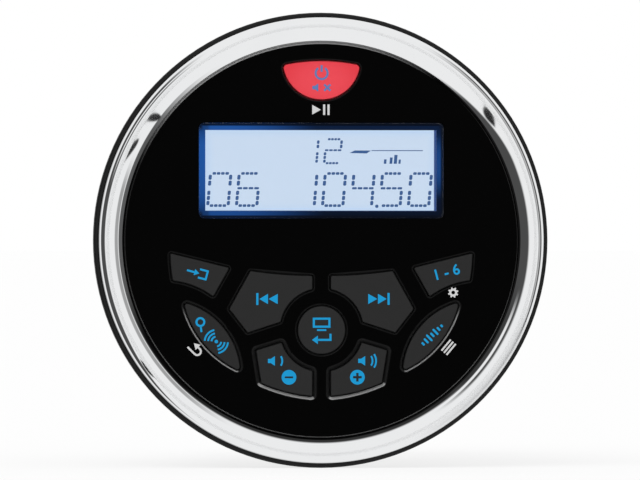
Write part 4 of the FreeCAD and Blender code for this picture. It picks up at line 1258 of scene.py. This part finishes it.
def make_keys():
    """Ten caps, each on its own key's body."""
    for key in (name for name in nodes if name.endswith("_key")):
        looks = ("lit_red", "key_red") if key == "power_key" else ("key_charcoal", "key_charcoal")
        add_copy(key + "_cap", key, key, *looks, angle=40.0)


def make_face():
    add_copy("face_disc", "fascia", "chassis", "gloss_black", "gloss_black", angle=38.0)
    add_copy("window_pane", "display_window", "chassis", "clear_window", "clear_window", 0.12)
    add_copy("face_dish", "face_housing", "chassis", "rim_black", "satin_black", angle=38.0)
    add_copy("foam_gasket", "panel_gasket", "chassis", "black_foam", "black_foam", 0.2)


# Rear pieces


def make_can():
    add_copy("can_body", "rear_can", "chassis", "satin_black", "satin_black", angle=38.0)
    add_copy("cover_plate", "rear_cover", "chassis", "cast_aluminium", "cast_aluminium", 0.12)
    for side in ("upper", "lower"):
        sink = side + "_heat_sink"
        add_copy(side + "_fins", sink, "chassis", "black_anodised", "black_anodised", 0.12)
    add_copy("aerial_socket", "antenna_socket", "chassis", "nickel_plate", "nickel_plate", 0.12)


def make_glands():
    """Rubber glands with a ribbed, tapered tail."""
    back = back_of("rear_cover")
    front = front_of("rear_seal")
    start = back + GLAND_LIP_THICKNESS
    for node, bore in GLAND_BORES.items():
        middle = middle_of(node)
        end = back_of(node)
        neck = bore + GLAND_WALL
        lip = neck + GLAND_LIP
        profile = [
            (bore, front - GLAND_LIP_THICKNESS),
            (bore, end - GLAND_BORE_EDGE),
            (bore + GLAND_BORE_EDGE, end),
            (bore + GLAND_TAIL_WALL - GLAND_TAIL_EDGE, end),
        ]
        first = end - 2 * GLAND_TAIL_EDGE
        pitch = (first - start) / GLAND_RIBS
        for index in range(GLAND_RIBS):
            rib = first - pitch * index
            share = (end - rib) / (end - start)
            wall = bore + GLAND_TAIL_WALL + (GLAND_WALL - GLAND_TAIL_WALL) * share
            profile += [
                (wall, rib),
                (wall, rib - pitch * GLAND_RIB_END),
                (wall - GLAND_GROOVE, rib - pitch * GLAND_GROOVE_START),
                (wall - GLAND_GROOVE, rib - pitch * GLAND_GROOVE_END),
            ]
        profile += [
            (neck, start),
            (lip - GLAND_LIP_EDGE, start),
            (lip, start - GLAND_LIP_EDGE),
            (lip, back),
            (neck, back),
            (neck, front),
            (lip, front),
            (lip, front - GLAND_LIP_THICKNESS),
        ]
        boot = turned(node.replace("_gland", "_boot"), profile, middle.x, middle.z, steps=72, angle=30.0)
        add(boot, "chassis", "black_rubber", "black_rubber", node)


def threaded_rod(name, radius, front, back, x):
    """A rod with a real thread, cut square at both ends."""
    root = radius - THREAD_DEPTH
    start = front - THREAD_PITCH
    flank = THREAD_FLANK * THREAD_PITCH
    flat = THREAD_FLAT * THREAD_PITCH
    crest = start + flank
    piece = traced(
        [
            (root, start),
            (radius, crest),
            (radius, crest + flat),
            (root, crest + flat + flank),
            (root, start + THREAD_PITCH),
        ]
    )
    modify(
        piece,
        "SCREW",
        axis="Y",
        angle=math.tau,
        screw_offset=THREAD_PITCH * MM,
        iterations=int((back - front) / THREAD_PITCH) + 3,
        steps=THREAD_STEPS,
        render_steps=THREAD_STEPS,
        use_merge_vertices=True,
        merge_threshold=WELD,
    )
    for depth, normal in ((front, -1), (back, 1)):
        editing(piece)
        bpy.ops.mesh.select_all(action="SELECT")
        bpy.ops.mesh.bisect(
            plane_co=(0, depth * MM, 0),
            plane_no=(0, normal, 0),
            use_fill=True,
            clear_outer=True,
            threshold=CUT,
        )
        done_editing()
    weld(piece)
    piece.location = (x * MM, 0, 0)
    settle(piece, name)
    smooth(piece, 40.0)
    return piece


def make_studs():
    low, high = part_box("mounting_studs")
    radius = (high.z - low.z) / 2 / MM
    spread = high.x / MM - radius
    rods = [threaded_rod("stud", radius, low.y / MM, high.y / MM, x) for x in (-spread, spread)]
    join(rods, "threaded_studs")
    add(rods[0], "chassis", "machined_steel", "stainless", "mounting_studs")


def make_bracket():
    add_copy("bracket_strip", "mounting_bracket", "bracket", "brushed_steel", "stainless", 0.25)
    add_copy("flat_washers", "washers", "bracket", "machined_steel", "stainless", 0.15)
    for side in ("left", "right"):
        nut = "wing_nut_" + side
        add_copy("wing_" + side, nut, nut, "machined_steel", "stainless", 0.35)


def screw_pattern(tip, top):
    """One pan-head screw on the face's axis, with a cross recess cut into its head."""
    seat = top - SCREW_HEAD_HEIGHT
    dome = [(a * SCREW_HEAD, seat + b * SCREW_HEAD_HEIGHT) for a, b in arc((0, 0), 1, 90, 10, 8)]
    profile = [
        (0, tip),
        (0, top),
        *dome[1:],
        (SCREW_HEAD, seat),
        (SCREW_SHANK, seat),
        (SCREW_SHANK, tip + SCREW_TIP),
        (SCREW_SHANK - SCREW_TIP, tip),
    ]
    pattern = turned("cover_screws", profile, steps=40, angle=50.0)
    outline = [cross(0, 0, RECESS_SIZE, RECESS_WIDTH)]
    above = top + RECESS_CLEARANCE
    cutter = flat_piece("recess", outline, 0, above, 0, height=RECESS_DEPTH + RECESS_CLEARANCE)
    modify(pattern, "BOOLEAN", operation="DIFFERENCE", object=cutter, solver="EXACT")
    bpy.data.objects.remove(cutter)
    smooth(pattern, 40.0)
    return pattern


def make_cover_screws():
    """Four screws in the cover's corners, each turned its own way."""
    low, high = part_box("rear_screws")
    pattern = screw_pattern(low.y / MM, high.y / MM)
    reach_x = high.x / MM - SCREW_HEAD
    reach_z = high.z / MM - SCREW_HEAD
    copies = []
    for x, z, turn in zip((1, -1, -1, 1), (1, 1, -1, -1), RECESS_TURNS):
        piece = link(bpy.data.objects.new("cover_screw", pattern.data.copy()))
        place = Matrix.Translation((x * reach_x * MM, 0, z * reach_z * MM))
        piece.matrix_world = place @ Matrix.Rotation(math.radians(turn), 4, "Y")
        copies.append(settle(piece, "cover_screw"))
    bpy.data.objects.remove(pattern)
    join(copies, "cover_screws")
    add(copies[0], "chassis", "machined_steel", "stainless", "rear_screws")


def make_insulator():
    """White sleeve between the aerial socket's shell and its centre contact."""
    middle = middle_of("antenna_socket")
    floor = front_of("rear_seal") + INSULATOR_DEPTH
    top = floor + INSULATOR_HEIGHT
    profile = [
        (INSULATOR_BORE, floor),
        (INSULATOR_BORE, top),
        (INSULATOR_RADIUS - INSULATOR_EDGE, top),
        (INSULATOR_RADIUS, top - INSULATOR_EDGE),
        (INSULATOR_RADIUS, floor),
    ]
    piece = turned("socket_insulator", profile, middle.x, middle.z, steps=48)
    add(piece, "chassis", "white_plastic", "white_plastic")


# Solids that stay as they are packed, by the finish that they get
KEPT_NODES = {
    "blue_glow": ["window_seal"],
    "display_light": ["lcd_glass"],
    "frosted_clear": ["light_guide"],
    "white_plastic": ["lcd_frame", "board_link"],
    "grey_rubber": ["lcd_strips", "keypad", "thermal_pad"],
    "lamp_resin": ["backlight_leds", "key_leds"],
    "black_rubber": ["contact_pills", "face_seal", "rear_seal"],
    "circuit_green": ["front_board", "main_board"],
    "zinc_steel": ["board_screws", "fascia_screws", "can_screws", "amp_clamp", "clamp_screws"],
    "chip_black": ["processor_chip", "amp_chip"],
    "tin_plate": ["tuner_module", "wireless_module"],
    "capacitor_sleeve": ["filter_capacitors"],
    "wound_copper": ["choke_coil"],
}


def dress_kept_nodes():
    for finish, names in KEPT_NODES.items():
        for name in names:
            dress(nodes[name], finish)


# Studio


def make_floor():
    """A pale floor that stays white to the camera, and keeps a soft shadow. Metal sees the white world."""
    shading = new_material("pale_floor")
    seen = (shading.ray("Camera") * FLOOR_WHITE).larger(shading.ray("Transmission"))
    matt = shading.node("ShaderNodeBsdfDiffuse", {}, {"Color": shading.colour(0.95)})
    white = shading.node("ShaderNodeEmission", {}, {"Color": shading.colour(1.0)})
    sockets = {0: seen, 1: matt.outputs[0], 2: white.outputs[0]}
    mixed = shading.node("ShaderNodeMixShader", {}, sockets)
    shading.node("ShaderNodeOutputMaterial", {}, {"Surface": mixed.outputs[0]})
    bpy.ops.object.select_all(action="DESELECT")
    bpy.ops.mesh.primitive_plane_add(size=FLOOR_SIZE * MM, location=(0, 0, cad_low.z))
    floor = bpy.context.object
    floor.name = "floor"
    floor.visible_glossy = False
    dress(floor, "pale_floor")


def leaf_shapes(tilt_x, tilt_y, tilt_z):
    """The leaves, by the way that a mirror faces where it shows the camera this part of the world."""
    across = distance(tilt_x, tilt_z)
    inward = RING_INNER_CURVE * across / distance(across, tilt_y)
    degrees = tilt_z.math("ARCTAN2", tilt_z, tilt_x) / math.radians(1) + 180
    mm_per_degree = math.radians(RING_OUTER)
    leaves = 0
    for head_turn, head_inward, tail_turn, tail_inward, width in WORLD_LEAVES:
        run = (tail_turn - head_turn) * mm_per_degree, tail_inward - head_inward
        length = math.hypot(*run)
        side, down = (degrees - head_turn) * mm_per_degree, inward - head_inward
        along = (side * run[0] + down * run[1]) / length**2
        off = abs(side * run[1] - down * run[0]) / (length * width)
        inside = along.larger(0).root() * (1 - along) - off
        leaves = inside.ramp(0.0, LEAF_EDGE).larger(leaves)
    return leaves


def dark_gaps(x, z, turned_off):
    """The gaps between the white screens: on the left, near on the right and far on the right.

    They lie by their degrees off the front, and by how far they are to the right and up.
    """
    flat = (x * x + z * z + 1e-6).root()
    rise, side = z / flat, x / flat
    low_side = 46 * (-rise).ramp(0.42, 0.9)
    left = side.ramp(-0.45, -0.7) * (turned_off - low_side).ramp(24, 36) * turned_off.ramp(92, 82)
    left = left * (1 - rise.ramp(0.25, 0.5) * turned_off.within(41, 46, 54, 59))
    right = side.ramp(0.5, 0.75)
    near = right * rise.ramp(-0.4, -0.2) * turned_off.within(37, 43, 56, 61)
    far = right * rise.ramp(-0.9, -0.5) * turned_off.within(60, 65, 84, 92)
    return left, near, far


def light_world():
    """White surroundings, and what glosses see there.

    A dark card stands where the flat face mirrors the camera. Each side has dark gaps between the
    white screens, and a few small dark leaves stand in front of them.
    """
    world = bpy.data.worlds.new("studio")
    world.use_nodes = True
    bpy.context.scene.world = world
    shading = Shading(world.node_tree)
    x, y, z = shading.parts(shading.node("ShaderNodeTexCoord").outputs["Generated"])
    ahead = -y
    turned_off = ahead.math("ARCCOSINE", ahead) / math.radians(1)
    left, near, far = dark_gaps(x, z, turned_off)
    azimuth = math.radians(CAMERA_AZIMUTH)
    leaves = leaf_shapes(x + math.sin(azimuth), y - math.cos(azimuth), z)
    mirrored = ahead * math.cos(azimuth) - x * math.sin(azimuth)
    card_reach = (math.cos(math.radians(angle)) for angle in (CARD_ANGLE + CARD_EDGE, CARD_ANGLE))
    card = mirrored.ramp(*card_reach)
    behind = y.ramp(0.3, 0.8) * (1 - z.ramp(0.1, 0.6))
    sheen = shading.mix(near, 1.0, NEAR_GAP_LEVEL)
    sheen = shading.mix(far, sheen, FAR_GAP_LEVEL)
    sheen = shading.mix(left, sheen, LEFT_GAP_LEVEL)
    sheen = shading.mix(leaves, sheen, LEAF_LEVEL)
    sheen = shading.mix(behind, sheen, shading.mix(x.ramp(-0.5, 0.6), *BEHIND_LEVELS))
    sheen = shading.mix(card, sheen, CARD_LEVEL)
    colour = shading.mix(shading.ray("Glossy"), WORLD_LEVEL, sheen)
    seen = shading.ray("Camera").larger(shading.ray("Transmission"))
    colour = shading.mix(seen, colour, 1.0)
    background = shading.node("ShaderNodeBackground", {}, {"Color": colour, "Strength": 1.0})
    shading.node("ShaderNodeOutputWorld", {}, {"Surface": background.outputs[0]})


def view_direction(azimuth, elevation):
    """The direction from the object towards a place round it, from two angles in radians."""
    flat = math.cos(elevation)
    return Vector((math.sin(azimuth) * flat, -math.cos(azimuth) * flat, math.sin(elevation)))


def make_lamp():
    """A wide soft lamp from the upper left, which brings the floor's light up to 1."""
    lamp = bpy.data.lights.new("soft_lamp", "SUN")
    elevation, azimuth = math.radians(LAMP_ELEVATION), math.radians(LAMP_AZIMUTH)
    lamp.energy = (1 - WORLD_LEVEL) * math.pi / math.sin(elevation)
    lamp.angle = math.radians(LAMP_SOFTNESS)
    holder = link(bpy.data.objects.new("soft_lamp", lamp))
    holder.location = view_direction(azimuth, elevation)
    holder.rotation_mode = "QUATERNION"
    holder.rotation_quaternion = (-holder.location).to_track_quat("-Z", "Y")
    holder.visible_glossy = False


def make_camera():
    camera = bpy.data.cameras.new("camera")
    holder = link(bpy.data.objects.new("camera", camera))
    azimuth, elevation = math.radians(CAMERA_AZIMUTH), math.radians(CAMERA_ELEVATION)
    back = view_direction(azimuth, elevation)
    right = Vector((math.cos(azimuth), math.sin(azimuth), 0))
    off_x = (PHOTO_CENTRE_PX[0] - FACE_CENTRE_PX[0]) * PHOTO_MM_PER_PX * MM
    off_z = (FACE_CENTRE_PX[1] - PHOTO_CENTRE_PX[1]) * PHOTO_MM_PER_PX * MM
    target = Vector((0, RIM_DEPTH * MM, 0)) + right * off_x + Vector((0, 0, off_z))
    holder.location = target + back * CAMERA_DISTANCE * MM
    holder.rotation_mode = "QUATERNION"
    holder.rotation_quaternion = (-back).to_track_quat("-Z", "Y")
    camera.sensor_width = CAMERA_SENSOR
    camera.lens = CAMERA_SENSOR * CAMERA_DISTANCE / (PHOTO_WIDTH_PX * PHOTO_MM_PER_PX)
    camera.clip_start, camera.clip_end = (reach * MM for reach in CAMERA_CLIP)
    bpy.context.scene.camera = holder


def main():
    bpy.context.scene.view_settings.view_transform = "Standard"
    make_finishes()
    make_ring()
    make_face()
    make_keys()
    make_power_signs()
    make_skip_signs()
    make_side_signs()
    make_enter_signs()
    make_volume_signs()
    make_face_signs()
    make_display()
    make_can()
    make_glands()
    make_studs()
    make_bracket()
    make_cover_screws()
    make_insulator()
    dress_kept_nodes()
    make_floor()
    light_world()
    make_lamp()
    make_camera()


main()
